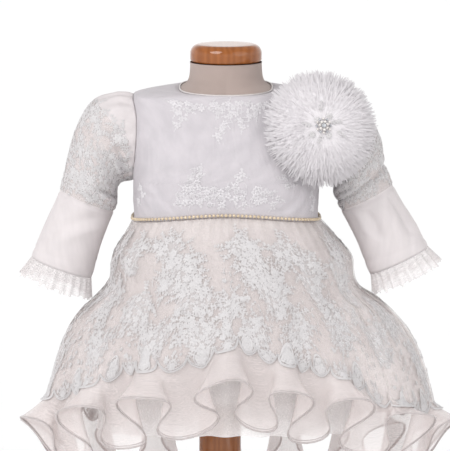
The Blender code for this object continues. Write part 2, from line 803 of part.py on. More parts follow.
def trimmings(materials):
    """The neck's binding, the strand of pearls at the waist and the buttons down the back."""
    neck_radius, strand_radius = 1.4, 1.6
    neck_points = []
    for c in range(30):
        angle = 12.0 * c
        edge = bodice_point(angle, 132.0)
        neck_points.append(edge + Vector((0.0, 0.0, CLOTH / 2 + SEAM + neck_radius)))
    round_cord("neck_binding", neck_points, neck_radius, 6, materials["binding"])

    strand_points = []
    for c in range(45):
        angle = 8.0 * c
        sizes = [SKIRT[n][0] for n in ("right", "left", "front", "back", "power")]
        out = ring_radius(angle, *sizes) + CLOTH / 2 + LACE_RELIEF + 0.5 + strand_radius
        strand_points.append(around(angle, out, waist_lift(angle) + 2.9))
    round_cord("waist_pearls", strand_points, strand_radius, 6, materials["pearl"])

    button_radius, button_thick = 4.5, 2.6
    profile = [(0.0, button_thick), (button_radius * 0.7, button_thick - 0.5), (button_radius, 1.2)]
    profile += [(button_radius - 0.5, 0.0), (0.0, 0.0)]
    for number, height in enumerate(BUTTON_HEIGHTS, 1):
        here = bodice_point(180.0, height)
        up = bodice_point(180.0, height + 1.0) - here
        out = Vector((1.0, 0.0, 0.0)).cross(up).normalized() * -1
        out = out if out.y > 0 else -out
        seat = here + out * (CLOTH / 2 + SEAM)
        place = Matrix.Translation((seat + Vector((0.0, 0.0, WAIST_Z))) * MM)
        place = place @ out.to_track_quat("Z", "Y").to_matrix().to_4x4()
        turned(f"back_button_{number}", profile, 12, materials["binding"], place)


def seat_from(centre, axis, radius, solids):
    """Slides a ball along axis until it lies one seam clear of the solids."""
    bpy.context.view_layer.update()
    graph = bpy.context.evaluated_depsgraph_get()
    trees = [BVHTree.FromObject(solid, graph) for solid in solids]
    away = 0.0
    for _ in range(60):
        here = centre + axis * away
        nearest = min(tree.find_nearest(here * MM)[3] for tree in trees) / MM
        away += (radius + SEAM - nearest) * 0.6
    return centre + axis * away


def open_reach(centre, turn, solids):
    """For each of 24 directions round the ball's axis, how far a strip may lean from it and stay clear."""
    graph = bpy.context.evaluated_depsgraph_get()
    trees = [BVHTree.FromObject(solid, graph) for solid in solids]
    reach = []
    for step in range(24):
        swing = 2 * math.pi * step / 24
        lean = 104.0
        clear = False
        while not clear:
            lean -= 2.0
            tilt = math.radians(lean)
            across = math.sin(tilt)
            way = turn @ Vector((across * math.cos(swing), across * math.sin(swing), math.cos(tilt)))
            along = [centre + way * (POMPOM_RADIUS * share) for share in (0.3, 0.45, 0.6, 0.75, 0.9, 1.02)]
            nearest = min(tree.find_nearest(p * MM)[3] for tree in trees for p in along) / MM
            clear = nearest > POMPOM_CLEAR + 3.0
        reach.append(lean)
    return [min(reach[i - 1], reach[i], reach[(i + 1) % 24]) for i in range(24)]


def leaned(direction, reach):
    """The direction moved towards the ball's axis, so that the widest one of all just keeps within reach."""
    lean = math.acos(max(-1.0, min(1.0, direction.z)))
    swing = math.atan2(direction.y, direction.x) % (2 * math.pi)
    place = swing / (2 * math.pi) * 24
    i, share = int(place) % 24, place - int(place)
    widest = math.radians(reach[i] + (reach[(i + 1) % 24] - reach[i]) * share)
    free = math.radians(WIDEST_LEAN)
    widest = min(free, widest)
    if lean <= free:
        lean *= widest / free
    else:
        lean = widest + (lean - free) * (math.pi - widest) / (math.pi - free)
    return Vector((math.sin(lean) * math.cos(swing), math.sin(lean) * math.sin(swing), math.cos(lean)))


def pompom(solids, materials):
    """A ball of net strips on a round core, with a brooch on a stem at its middle. Its back is bare."""
    start = Vector((BODY_X + 92.0, -62.0, WAIST_Z + 99.0))
    centre = seat_from(start, POMPOM_AXIS, POMPOM_CORE, solids)
    turn = POMPOM_AXIS.to_track_quat("Z", "Y").to_matrix().to_4x4()
    reach = open_reach(centre, turn, solids)
    bm = bmesh.new()
    bmesh.ops.create_icosphere(bm, subdivisions=3, radius=1.0)

    def from_axis(direction):
        return math.degrees(math.acos(max(-1.0, min(1.0, direction.normalized().z))))

    locks = [f for f in bm.faces if 24.0 < from_axis(f.calc_center_median()) < 97.0]
    rest = {v for f in bm.faces for v in f.verts}
    made = bmesh.ops.extrude_discrete_faces(bm, faces=locks)["faces"]
    tips = []
    for number, face in enumerate(made):
        middle = face.calc_center_median().normalized()
        length = POMPOM_RADIUS * (0.64 + 0.36 * math.sin(math.radians(from_axis(middle))) ** 2)
        length *= 1.0 + 0.05 * math.sin(2.4 * number)
        for v in face.verts:
            direction = middle.lerp(v.co.normalized(), 0.80).normalized()
            v.co = leaned(direction, reach) * length * 0.82
        tips.append(leaned(middle, reach) * length)
    for v in rest:
        v.co = leaned(v.co.normalized(), reach) * POMPOM_CORE
    poked = bmesh.ops.poke(bm, faces=made)["verts"]
    for v, tip in zip(poked, tips):
        v.co = tip
    bmesh.ops.transform(bm, verts=bm.verts, matrix=Matrix.Translation(centre) @ turn)
    bmesh.ops.translate(bm, verts=bm.verts, vec=(0.0, 0.0, -WAIST_Z))
    put_mesh("pompom", bm, materials["net"], smooth=False)

    stem, head, foot = 3.2, 8.5, POMPOM_CORE + SEAM
    neck = POMPOM_RADIUS * 0.56
    profile = [(0.0, neck + 6.0), (head * 0.6, neck + 5.0), (head, neck + 2.4), (head * 0.9, neck)]
    profile += [(stem, neck - 2.0), (stem, foot), (0.0, foot)]
    place = Matrix.Translation(centre * MM) @ turn
    turned("pompom_brooch", profile, 16, materials["pearl"], place)


for obj in list(bpy.data.objects):
    bpy.data.objects.remove(obj)
PARTS = bpy.data.collections.new("christening_gown")
bpy.context.scene.collection.children.link(PARTS)

COLOURS = {
    "satin": surface_material("satin", (0.88, 0.86, 0.86), 0.38, 0.3),
    "lace": surface_material("lace", (0.90, 0.88, 0.87), 0.75, 0.2),
    "organza": surface_material("organza", (0.86, 0.82, 0.81), 0.5, 0.1),
    "net": surface_material("net", (0.90, 0.89, 0.90), 0.7, 0.2),
    "lining": surface_material("lining", (0.84, 0.79, 0.77), 0.45, 0.1),
    "binding": surface_material("binding", (0.90, 0.87, 0.80), 0.45),
    "pearl": surface_material("pearl", (0.88, 0.82, 0.70), 0.22),
    "jersey": surface_material("jersey", (0.72, 0.68, 0.64), 0.85),
    "wood": surface_material("wood", (0.42, 0.21, 0.09), 0.3),
}

stand(COLOURS["wood"])
torso(COLOURS["jersey"])
bodice_front = bodice_panel("bodice_front", -90.0, 90.0, FRONT_SPANS, COLOURS["satin"])
bodice_panel("bodice_back_left", 90.0, 180.0, FRONT_SPANS // 2, COLOURS["satin"])
bodice_panel("bodice_back_right", -180.0, -90.0, FRONT_SPANS // 2, COLOURS["satin"])
sleeve_left = sleeve("left", 1, LEFT_SLEEVE_SWING, COLOURS["satin"])
sleeve("right", -1, 0.0, COLOURS["satin"])
cuff_frill("cuff_frill_left", 1, LEFT_SLEEVE_SWING, COLOURS["net"])
cuff_frill("cuff_frill_right", -1, 0.0, COLOURS["net"])
skirt_panels(COLOURS)
petticoat_layer("petticoat_net", PETTICOAT_HEM, 0.0, 0.0, NET_FOLDS, 4.0, COLOURS["net"])
petticoat_layer(
    "skirt_lining", LINING_HEM, LINING_INSIDE, LINING_INSIDE_AT_HEM, LINING_FOLDS, 0.0, COLOURS["lining"]
)
trimmings(COLOURS)
pompom([bodice_front, sleeve_left], COLOURS)
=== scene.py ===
"""The looks of a christening gown on a limbless child's dress form.

Lengths below are in millimetres and angles in degrees, and put_mesh turns them into metres.
The gown's front faces -Y and its wearer's left is +X. An angle round the body is 0 at the front and 90
at the wearer's left. Heights of the gown are measured from its waist seam at the sides, upwards.
"""

import math

import bpy
import numpy as np
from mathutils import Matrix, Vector


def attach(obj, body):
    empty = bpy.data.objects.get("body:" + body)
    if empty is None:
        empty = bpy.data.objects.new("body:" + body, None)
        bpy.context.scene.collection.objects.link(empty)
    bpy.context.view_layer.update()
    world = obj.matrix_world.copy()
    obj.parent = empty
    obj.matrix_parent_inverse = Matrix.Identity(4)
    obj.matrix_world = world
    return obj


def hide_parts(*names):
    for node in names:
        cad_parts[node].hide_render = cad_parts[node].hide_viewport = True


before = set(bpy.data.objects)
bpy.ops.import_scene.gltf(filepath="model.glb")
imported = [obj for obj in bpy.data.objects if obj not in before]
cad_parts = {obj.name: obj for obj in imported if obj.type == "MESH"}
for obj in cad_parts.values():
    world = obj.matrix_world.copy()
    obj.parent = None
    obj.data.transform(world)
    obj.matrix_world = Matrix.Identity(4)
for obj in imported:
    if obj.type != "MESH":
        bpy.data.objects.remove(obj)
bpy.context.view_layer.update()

MM = 0.001
WAIST_Z = 400.0
BODY_X = 6.0

BASE_RADIUS = 115.0
BASE_THICK = 22.0
POLE_RADIUS = 21.0
TORSO_FOOT = -150.0
NECK_TOP = 158.0
CAP_THICK = 17.5
CAP_RADIUS = 35.6
SEAM = 0.3
WAIST_GAP = 0.15

ARMHOLE_MIDDLE = 83.5
ARMHOLE_HALF_HEIGHT = 42.5
ARMHOLE_HALF_ANGLE = 20.0
BODY_POWER = 2.8
# Millimetres round the bodice for each radian.
BODICE_ROUND = 85.0
LEFT_SLEEVE_SWING = 6.0
CLOTH_THICK = 0.5
# Sections of a sleeve, counted from its armhole.
ELBOW = 6.0
CUFF = 9.0
SLEEVE_LACE_END = 5.9
CUFF_GATHERS = 22
FRILL_LENGTH = 19.0

FLUTE_TURN = 2.0
FLUTE_OUT = 46.0
FLUTE_NECK_OUT = -20.0
FLUTE_LIFT = 54.0
LACE_ON_FLUTE = 14.0
LACE_TOP = 0.012
EMBROIDERY_RELIEF = 0.6
SCALLOP_LENGTH = 13.0
SCALLOPS_PER_FLUTE = 3
LACE_OFFSET = 1.45
FOLD_HALF_ANGLE = 9.0

BUTTON_HEIGHTS = (24.0, 52.0, 80.0, 108.0)
LOOP_RADIUS = 5.2

POMPOM_CENTRE = Vector((96.6, -51.0, 96.5))
POMPOM_AXIS = Vector((0.12, -0.95, 0.22)).normalized()
POMPOM_RADIUS = 60.0
POMPOM_CORE = 13.0
POMPOM_STRIPS = 5200
# Where the strips come out of the ball, as a share of their reach.
STRIP_ROOT = 0.56
WIDEST_LEAN = 103.0
LAST_LEAN = 101.0
GOLDEN_TURN = math.pi * (3.0 - math.sqrt(5.0))
# How far from the pompom's axis its strips may lean, for each of 24 directions round it.
POMPOM_REACH = [102] * 7 + [96, 92, 88, 84, 80, 78, 78, 78, 78, 80, 86, 94] + [102] * 5


def table(columns, *rows):
    """Named columns of numbers, a row for each section. The first column says where the section lies."""
    named = dict(zip(columns.split(), np.array(rows, dtype=float).T))
    named["place"] = named[columns.split()[0]]
    return named


BODICE = table(
    "height width front back lift",
    (0, 91.5, 72, 70, 12),
    (20, 91.5, 74, 70.5, 9),
    (41, 92, 74.5, 71, 5),
    (60, 92.5, 73, 71, 2),
    (83.5, 93, 67, 69, 0),
    (105, 93, 56.5, 62, 0),
    (120, 93, 48.5, 53, 0),
    (126, 91.5, 45, 48, -1),
    (129, 79, 43.5, 45.5, -2),
    (131, 62, 42, 43, -3),
    (132, 46, 41, 41, -4),
)

TORSO = table(
    "height width front back power",
    (-150, 60, 48, 50, 2),
    (-146, 66, 53, 55, 2),
    (-110, 80, 62, 66, 2.2),
    (-60, 86, 66.5, 66, 2.4),
    (-20, 85, 64.5, 62.5, 2.6),
    (0, 84, 64, 61.5, 2.8),
    (41, 87, 68.8, 66, 2.8),
    (83.5, 89, 62, 65, 2.8),
    (105, 89, 52, 57.5, 2.8),
    (117, 88.5, 44.5, 49.5, 2.8),
    (121.5, 86.5, 41.5, 44.5, 2.8),
    (125, 76.5, 40, 42, 2.6),
    (127.5, 58, 39, 40, 2.3),
    (131.5, 43.8, 38.6, 39.2, 2),
    (138, 38.8, 37.6, 38.2, 2),
    (146, 36.4, 36.2, 36.4, 2),
    (156, 35.8, 35.8, 35.8, 2),
    (NECK_TOP, 36, 36, 36, 2),
)

SLEEVE = table(
    "section outer_x outer_z inner_x inner_z depth forward",
    (1, 108, 127.5, 102, 39.5, 33, 0),
    (2, 127, 122.5, 106.5, 37.5, 35, 0),
    (3, 142, 106, 108.5, 33.5, 35.5, 1),
    (4, 152.5, 80, 109.5, 27.5, 34.5, 2),
    (5, 158, 56.5, 110.5, 20, 32.5, 3),
    (6, 166, 29.5, 113, 9, 29.5, 4),
    (7, 177, 4, 118.5, -6, 28, 6),
    (8, 186, -16, 125.5, -25, 27, 8),
    (9, 194.4, -35.5, 134, -57.5, 26.5, 10),
)

SKIRT = table(
    "depth right left front back power",
    (0, 91.5, 91.5, 72, 70, 2.8),
    (6, 94.5, 98, 76, 75, 2.7),
    (18, 102, 109, 84, 86, 2.5),
    (40, 114.5, 127, 97, 104, 2.3),
    (60, 117, 130, 106, 117, 2.2),
    (73, 125, 140, 112, 125, 2.1),
    (84, 137, 159, 117, 131, 2.1),
    (100, 154, 176, 123, 140, 2),
    (120, 167, 191, 131, 151, 2),
    (160, 181, 208, 144, 171, 2),
    (200, 193, 219, 155, 190, 2),
    (260, 208, 232, 170, 214, 2),
)

HEM = table(
    "angle lace edge",
    (-180, 250, 312),
    (-140, 236, 298),
    (-110, 212, 274),
    (-90, 192, 256),
    (-70, 172, 240),
    (-57, 158, 226),
    (-44, 141, 213),
    (-25, 134, 205),
    (-10, 128, 196),
    (4, 111, 188),
    (15, 122, 194),
    (27, 131, 204),
    (47, 147, 213),
    (56, 163, 220),
    (63, 182, 232),
    (80, 193, 248),
    (110, 213, 274),
    (140, 236, 298),
    (180, 250, 312),
)

# Each flute of the hem has its peak's angle, and the depth of the skirt's fold in the valley after it.
FLUTES = table(
    "peak fold",
    (-169, 10), (-147, 8), (-125, 12), (-103, 9), (-81, 12), (-58, 15), (-34, 4), (1, 3),
    (26, 13), (46, 11), (66, 10), (87, 9), (108, 11), (130, 8), (151, 11), (171, 9),
)
FRONT_FLUTES = (4, 12)

PETTICOAT = table(
    "depth width front back power",
    (0, 88.5, 69.3, 66.9, 2.8),
    (20, 98, 78, 78, 2.5),
    (50, 105, 86, 89, 2.3),
    (100, 115, 92, 101, 2.1),
    (160, 122, 95, 109, 2),
    (230, 127, 98, 114, 2),
)
PETTICOAT_HEM = (202.0, 226.0)
LINING_HEM = (172.0, 199.0)
LINING_INSIDE = 1.8
LINING_INSIDE_AT_HEM = 8.0


def read(source, name, at):
    """A table's column at places along its first column, on a smooth curve that never overshoots."""
    place, value = source["place"], source[name]
    at = np.clip(at, place[0], place[-1])
    i = np.clip(np.searchsorted(place, at, side="right") - 1, 0, len(place) - 2)
    slope = np.diff(value) / np.diff(place)
    before, after = slope[:-1], slope[1:]
    total = np.where(before + after == 0.0, 1.0, before + after)
    inner = np.where(before * after > 0, 2 * before * after / total, 0.0)
    tangent = np.concatenate([slope[:1], inner, slope[-1:]])
    span = place[i + 1] - place[i]
    t = (at - place[i]) / span
    return (
        value[i] * (1 + 2 * t) * (1 - t) ** 2
        + tangent[i] * span * t * (1 - t) ** 2
        + value[i + 1] * t * t * (3 - 2 * t)
        + tangent[i + 1] * span * t * t * (t - 1)
    )


def cosine(degrees):
    return np.cos(np.radians(degrees))


def sine(degrees):
    return np.sin(np.radians(degrees))


def clipped(value):
    return np.clip(value, 0.0, 1.0)


def hump(x, middle, half):
    """A smooth hump, 1 high at its middle."""
    return np.exp(-(((x - middle) / half) ** 2))


def turns(count):
    """Equal steps round a circle, in radians."""
    return 2 * np.pi * np.arange(count) / count


def crossed(rows, columns):
    """Two grids of values from those of the rows and of the columns."""
    return np.meshgrid(rows, columns, indexing="ij")


def unit(vectors):
    """The vectors at a length of 1."""
    return vectors / np.maximum(1e-9, np.linalg.norm(vectors, axis=-1, keepdims=True))


def turned_to_half(angle):
    return (angle + 180.0) % 360.0 - 180.0


def ring_radius(angle, right, left, front, back, power):
    """Distance from the middle of a rounded-box ring to its edge, in the direction of angle."""
    across, along = sine(angle), cosine(angle)
    width = np.where(across > 0, left, right)
    depth = np.where(along > 0, front, back)
    return (np.abs(across / width) ** power + np.abs(along / depth) ** power) ** (-1 / power)


def around(angle, radius, height):
    """Points at those angles, radii and heights, round the body's axis."""
    x = BODY_X + radius * sine(angle)
    y = -radius * cosine(angle)
    return np.stack(np.broadcast_arrays(x, y, height), axis=-1)


def waist_lift(angle):
    """How much higher than at the sides the waist seam runs, over the belly."""
    return BODICE["lift"][0] * np.maximum(0.0, cosine(angle)) ** 1.5


def creases(rows, x, y):
    """Height of soft creases, each given as (x0, y0, x1, y1, half width, height), with tapered ends."""
    total = np.zeros(np.broadcast(x, y).shape)
    for x0, y0, x1, y1, half, height in rows:
        dx, dy = x1 - x0, y1 - y0
        length = math.hypot(dx, dy)
        along = ((x - x0) * dx + (y - y0) * dy) / length**2
        bow = 0.08 * length * np.sin(np.pi * clipped(along))
        across = ((x - x0) * dy - (y - y0) * dx) / length + bow
        taper = clipped(1.0 - (2 * along - 1.0) ** 4) * ((along > 0) & (along < 1))
        total += height * hump(across, 0.0, half) * taper
    return total


def uneven(x, y, size, seed):
    """Soft unevenness between -1 and 1 over a surface, about size across, the same for the same seed."""
    draw = np.random.default_rng(seed)
    total = np.zeros(np.broadcast(x, y).shape)
    for _ in range(6):
        way = draw.uniform(0, 2 * np.pi)
        pitch = size * draw.uniform(0.7, 1.8)
        phase = draw.uniform(0, 2 * np.pi)
        total += np.sin(2 * np.pi * (x * np.cos(way) + y * np.sin(way)) / pitch + phase)
    return total / 4.0


class Sheet:
    """A surface as rows and columns of points, read at u along its columns and v down its rows."""

    def __init__(self, points, closed=False):
        self.points = points
        self.closed = closed
        self.normals = self.outward(points)

    def outward(self, points):
        if self.closed:
            wrapped = np.concatenate([points[:, -1:], points, points[:, :1]], axis=1)
            along = (wrapped[:, 2:] - wrapped[:, :-2]) / 2
        else:
            along = np.gradient(points, axis=1)
        return unit(np.cross(np.gradient(points, axis=0), along))

    def raised(self, height):
        """The same sheet with each point moved out by height."""
        return Sheet(self.points + self.normals * np.asarray(height)[..., None], self.closed)

    def read(self, u, v, lift=0.0):
        rows, columns = self.points.shape[:2]
        spans = columns if self.closed else columns - 1
        x = (u % 1.0 if self.closed else clipped(u)) * spans
        y = clipped(v) * (rows - 1)
        c = np.minimum(x.astype(int), spans - 1)
        r = np.minimum(y.astype(int), rows - 2)
        d = (c + 1) % columns
        s, t = (x - c)[..., None], (y - r)[..., None]

        def mixed(grid):
            upper = grid[r, c] * (1 - s) + grid[r, d] * s
            lower = grid[r + 1, c] * (1 - s) + grid[r + 1, d] * s
            return upper * (1 - t) + lower * t

        return mixed(self.points) + mixed(self.normals) * np.asarray(lift)[..., None]

    def per_mm(self, u, v):
        """How much u and v change for each millimetre along the surface at one place."""
        step = 0.004
        below = v + step if v < 0.99 else v - step
        here, beside, lower = self.read(np.array([u, u + step, u]), np.array([v, v, below]))
        across, down = np.linalg.norm(beside - here), np.linalg.norm(lower - here)
        return step / max(0.5, across), step / max(0.2, down)


PARTS = bpy.data.collections.new("christening_gown_looks")
bpy.context.scene.collection.children.link(PARTS)


def put_mesh(name, points, faces, material, slot, *replaced, uv=None, smooth=True):
    """A piece of the object, from millimetres above the waist to metres above the floor."""
    points = np.array(points, dtype=float).reshape(-1, 3)
    points[:, 2] += WAIST_Z
    mesh = bpy.data.meshes.new(name)
    mesh.from_pydata((points * MM).tolist(), [], [list(f) for f in faces])
    mesh.update()
    if uv is not None:
        layer = mesh.uv_layers.new(name="cloth")
        corner = np.empty(len(mesh.loops), dtype=np.int64)
        mesh.loops.foreach_get("vertex_index", corner)
        layer.data.foreach_set("uv", (np.asarray(uv).reshape(-1, 2) * MM)[corner].ravel())
    if smooth:
        mesh.shade_smooth()
    mesh.materials.append(MATERIALS[material])
    obj = bpy.data.objects.new(name, mesh)
    PARTS.objects.link(obj)
    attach(obj, "root")
    if replaced:
        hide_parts(*replaced)
    return obj


def grid_faces(rows, columns, closed=False):
    r, c = crossed(np.arange(rows - 1), np.arange(columns if closed else columns - 1))
    d = (c + 1) % columns
    corners = [r * columns + c, (r + 1) * columns + c, (r + 1) * columns + d, r * columns + d]
    return np.stack(corners, axis=-1).reshape(-1, 4).tolist()


def lengths(points):
    """Distances along the columns and down the rows of a grid, for its flat pattern."""
    along = np.linalg.norm(np.diff(points, axis=1), axis=-1)
    down = np.linalg.norm(np.diff(points, axis=0), axis=-1)
    u = np.concatenate([np.zeros((len(points), 1)), np.cumsum(along, axis=1)], axis=1)
    v = np.concatenate([np.zeros((1, points.shape[1])), np.cumsum(down, axis=0)], axis=0)
    return np.stack([u, v], axis=-1)


def put_cloth(name, sheet, material, slot, *replaced, thick=0.0):
    """A sheet of cloth, with a thickness if it isn't sheer."""
    points = sheet.points
    if sheet.closed:
        points = np.concatenate([points, points[:, :1]], axis=1)
    faces = grid_faces(*points.shape[:2])
    obj = put_mesh(name, points, faces, material, slot, *replaced, uv=lengths(points))
    if sheet.closed:
        weld = obj.modifiers.new("weld", "WELD")
        weld.merge_threshold = 0.00001
    if thick:
        wall = obj.modifiers.new("cloth", "SOLIDIFY")
        wall.thickness = thick * MM
        wall.offset = 0.0


def tube(points, radius, sides, closed=True):
    """Points and faces of a cord through the points."""
    points = np.asarray(points, dtype=float)
    count = len(points)
    if closed:
        ahead = unit(np.roll(points, -1, axis=0) - np.roll(points, 1, axis=0))
    else:
        ahead = unit(np.gradient(points, axis=0))
    side = unit(np.cross(ahead, (0.0, 0.0, 1.0)))
    turn = turns(sides)[None, :, None]
    ring = side[:, None] * np.cos(turn) + np.cross(side, ahead)[:, None] * np.sin(turn)
    faces = []
    for i in range(count if closed else count - 1):
        j = (i + 1) % count
        for k in range(sides):
            m = (k + 1) % sides
            faces.append((i * sides + k, i * sides + m, j * sides + m, j * sides + k))
    if not closed:
        faces.append(tuple(range(sides))[::-1])
        faces.append(tuple((count - 1) * sides + k for k in range(sides)))
    return (points[:, None] + ring * radius).reshape(-1, 3), faces


class Many:
    """Many small shapes gathered in one mesh."""

    def __init__(self):
        self.points, self.faces, self.count = [], [], 0

    def add(self, points, faces):
        self.points.append(np.asarray(points, dtype=float).reshape(-1, 3))
        self.faces += [tuple(i + self.count for i in face) for face in faces]
        self.count += len(self.points[-1])

    def put(self, name, material, slot, *replaced, smooth=True):
        points = np.concatenate(self.points)
        return put_mesh(name, points, self.faces, material, slot, *replaced, smooth=smooth)


def node(tree, kind, **inputs):
    """A shader node with its inputs set or linked: a socket links, anything else is its value."""
    made = tree.nodes.new(kind)
    for name, value in inputs.items():
        slot = made.inputs[name.replace("_", " ")]
        if isinstance(value, bpy.types.NodeSocket):
            tree.links.new(value, slot)
        else:
            slot.default_value = value
    return made


def ramp(tree, factor, stops):
    made = tree.nodes.new("ShaderNodeValToRGB")
    tree.links.new(factor, made.inputs["Fac"])
    elements = made.color_ramp.elements
    while len(elements) < len(stops):
        elements.new(0.5)
    for element, (place, colour) in zip(elements, stops):
        element.position = place
        element.color = (*colour, 1.0)
    return made.outputs["Color"]


def stretched(tree, source, scale):
    """The cloth's or the object's coordinates, scaled per metre."""
    coords = tree.nodes.new("ShaderNodeTexCoord")
    mapping = node(tree, "ShaderNodeMapping", Vector=coords.outputs[source], Scale=scale)
    return mapping.outputs["Vector"]


def start_material(name, roughness, **settings):
    material = bpy.data.materials.new(name)
    material.use_nodes = True
    tree = material.node_tree
    shader = tree.nodes["Principled BSDF"]
    shader.inputs["Roughness"].default_value = roughness
    for key, value in settings.items():
        shader.inputs[key.replace("_", " ")].default_value = value
    return material, tree, shader


def bumped(tree, shader, height, strength, distance):
    bump = node(tree, "ShaderNodeBump", Height=height, Strength=strength, Distance=distance)
    tree.links.new(bump.outputs["Normal"], shader.inputs["Normal"])


def wave(tree, source, scale, size=1.0, direction="X", **inputs):
    made = node(tree, "ShaderNodeTexWave", Vector=stretched(tree, source, scale), Scale=size, **inputs)
    made.bands_direction = direction
    return made.outputs["Fac"]


def noise(tree, source, scale, size, detail=2.0):
    place = stretched(tree, source, scale)
    return node(tree, "ShaderNodeTexNoise", Vector=place, Scale=size, Detail=detail).outputs["Fac"]


def blended(tree, first, second, share):
    mixed = node(tree, "ShaderNodeMix", Factor=share)
    tree.links.new(first, mixed.inputs[2])
    tree.links.new(second, mixed.inputs[3])
    return mixed.outputs[0]


def coloured(tree, shader, factor, low, dark, high, light):
    tree.links.new(ramp(tree, factor, [(low, dark), (high, light)]), shader.inputs["Base Color"])


EVENLY = (1.0, 1.0, 1.0)


def woven(name, light, dark, roughness, threads, strength, **settings):
    """Cloth with a fine plain weave and a faint mottling between two colours."""
    material, tree, shader = start_material(name, roughness, **settings)
    weave = node(tree, "ShaderNodeMath")
    weave.operation = "ADD"
    tree.links.new(wave(tree, "UV", (threads, 1.0, 1.0)), weave.inputs[0])
    tree.links.new(wave(tree, "UV", (1.0, threads, 1.0), direction="Y"), weave.inputs[1])
    coloured(tree, shader, noise(tree, "UV", EVENLY, 60.0, 4.0), 0.35, dark, 0.65, light)
    bumped(tree, shader, weave.outputs["Value"], strength, 0.0002)
    return material


def netting(name, light, dark, roughness, cell, open_alpha, thread_alpha):
    """Sheer net: fine threads round open cells, seen as a veil from further off."""
    material, tree, shader = start_material(name, roughness)
    place = stretched(tree, "UV", EVENLY)
    cells = node(tree, "ShaderNodeTexVoronoi", Vector=place, Scale=1000.0 / cell)
    cells.feature = "DISTANCE_TO_EDGE"
    coloured(tree, shader, noise(tree, "UV", EVENLY, 45.0), 0.3, dark, 0.7, light)
    veil = ramp(tree, cells.outputs["Distance"], [(0.02, (thread_alpha,) * 3), (0.16, (open_alpha,) * 3)])
    tree.links.new(veil, shader.inputs["Alpha"])
    return material


def wood(name, light, dark, roughness):
    """Polished wood with grain that runs up the turned pieces."""
    material, tree, shader = start_material(
        name, roughness, Coat_Weight=1.0, Coat_Roughness=0.1, Coat_IOR=1.5, Specular_IOR_Level=0.0
    )
    upright = (60.0, 60.0, 6.0)
    rings = wave(tree, "Object", upright, 0.8, Distortion=9.0, Detail=3.0)
    grain = blended(tree, rings, noise(tree, "Object", upright, 1.4, 4.0), 0.6)
    coloured(tree, shader, grain, 0.15, dark, 0.85, light)
    bumped(tree, shader, noise(tree, "Object", (900.0, 900.0, 30.0), 1.0), 0.08, 0.0002)
    return material


def jersey(name, light, dark):
    """Fine ribbed knit, its ribs up and down."""
    material, tree, shader = start_material(name, 0.85, Sheen_Weight=0.25)
    ribs = wave(tree, "UV", (560.0, 1.0, 1.0))
    knit = blended(tree, ribs, wave(tree, "UV", (1.0, 900.0, 1.0), direction="Y"), 0.35)
    coloured(tree, shader, knit, 0.15, dark, 0.75, light)
    bumped(tree, shader, knit, 0.5, 0.0006)
    return material


def mottled(name, light, dark, roughness, scale, strength, **settings):
    """A close-grained surface with a little unevenness of colour and relief."""
    material, tree, shader = start_material(name, roughness, **settings)
    cloud = noise(tree, "Object", EVENLY, scale, 3.0)
    coloured(tree, shader, cloud, 0.35, dark, 0.65, light)
    bumped(tree, shader, cloud, strength, 0.0003)
    return material


def thread(name, light, dark):
    return mottled(name, light, dark, 0.55, 700.0, 0.3, Sheen_Weight=0.2)


MATERIALS = {
    "crepe": woven(
        "crinkled_crepe", (0.595, 0.558, 0.586), (0.535, 0.503, 0.53), 0.55, 1400.0, 0.35, Sheen_Weight=0.1
    ),
    "satin": woven(
        "ivory_satin", (0.665, 0.618, 0.622), (0.615, 0.572, 0.577),
        0.58, 2200.0, 0.1, Specular_IOR_Level=0.3,
    ),
    "lining": woven("beige_lining", (0.79, 0.715, 0.69), (0.73, 0.655, 0.63), 0.5, 2000.0, 0.1),
    "organza": netting("stiff_organza", (0.79, 0.72, 0.71), (0.74, 0.67, 0.66), 0.45, 1.0, 0.42, 0.75),
    "tulle": netting("lace_ground", (0.76, 0.71, 0.7), (0.7, 0.65, 0.64), 0.6, 1.3, 0.08, 0.4),
    "sleeve_net": netting("sleeve_lace_ground", (0.74, 0.68, 0.66), (0.67, 0.61, 0.59), 0.6, 1.5, 0.2, 0.6),
    "net": netting("petticoat_net", (0.92, 0.885, 0.88), (0.88, 0.845, 0.84), 0.6, 1.0, 0.62, 0.9),
    "frill": netting("frill_net", (0.76, 0.72, 0.72), (0.68, 0.64, 0.64), 0.6, 1.5, 0.45, 0.9),
    "fluff": mottled(
        "pompom_net", (0.715, 0.685, 0.705), (0.665, 0.635, 0.655), 0.85, 400.0, 0.1, Sheen_Weight=0.3
    ),
    "thread": thread("lace_thread", (0.62, 0.603, 0.61), (0.555, 0.535, 0.54)),
    "bright_thread": thread("bodice_lace_thread", (0.7, 0.675, 0.695), (0.64, 0.615, 0.635)),
    "filling": netting("lace_filling_net", (0.8, 0.78, 0.79), (0.72, 0.695, 0.7), 0.6, 1.5, 0.35, 0.8),
    "edge": mottled(
        "hem_edging", (0.55, 0.5, 0.495), (0.48, 0.435, 0.43), 0.35, 400.0, 0.15, Coat_Weight=0.3
    ),
    "piping": mottled(
        "satin_piping", (0.65, 0.61, 0.6), (0.59, 0.55, 0.54), 0.4, 500.0, 0.2, Sheen_Weight=0.1
    ),
    "pearl": mottled(
        "waist_pearl", (0.66, 0.545, 0.39), (0.55, 0.43, 0.28),
        0.2, 300.0, 0.03, Coat_Weight=0.8, Coat_Roughness=0.1,
    ),
    "bead": mottled(
        "brooch_pearl", (0.74, 0.71, 0.68), (0.66, 0.62, 0.59), 0.2, 300.0, 0.03, Coat_Weight=0.8
    ),
    "stone": mottled(
        "cut_stone", (0.75, 0.77, 0.8), (0.3, 0.31, 0.34), 0.06, 300.0, 0.02, Metallic=0.6, Coat_Weight=1.0
    ),
    "jersey": jersey("rib_jersey", (0.475, 0.38, 0.345), (0.36, 0.28, 0.25)),
    "wood": wood("polished_wood", (0.335, 0.112, 0.029), (0.235, 0.069, 0.014), 0.5),
}


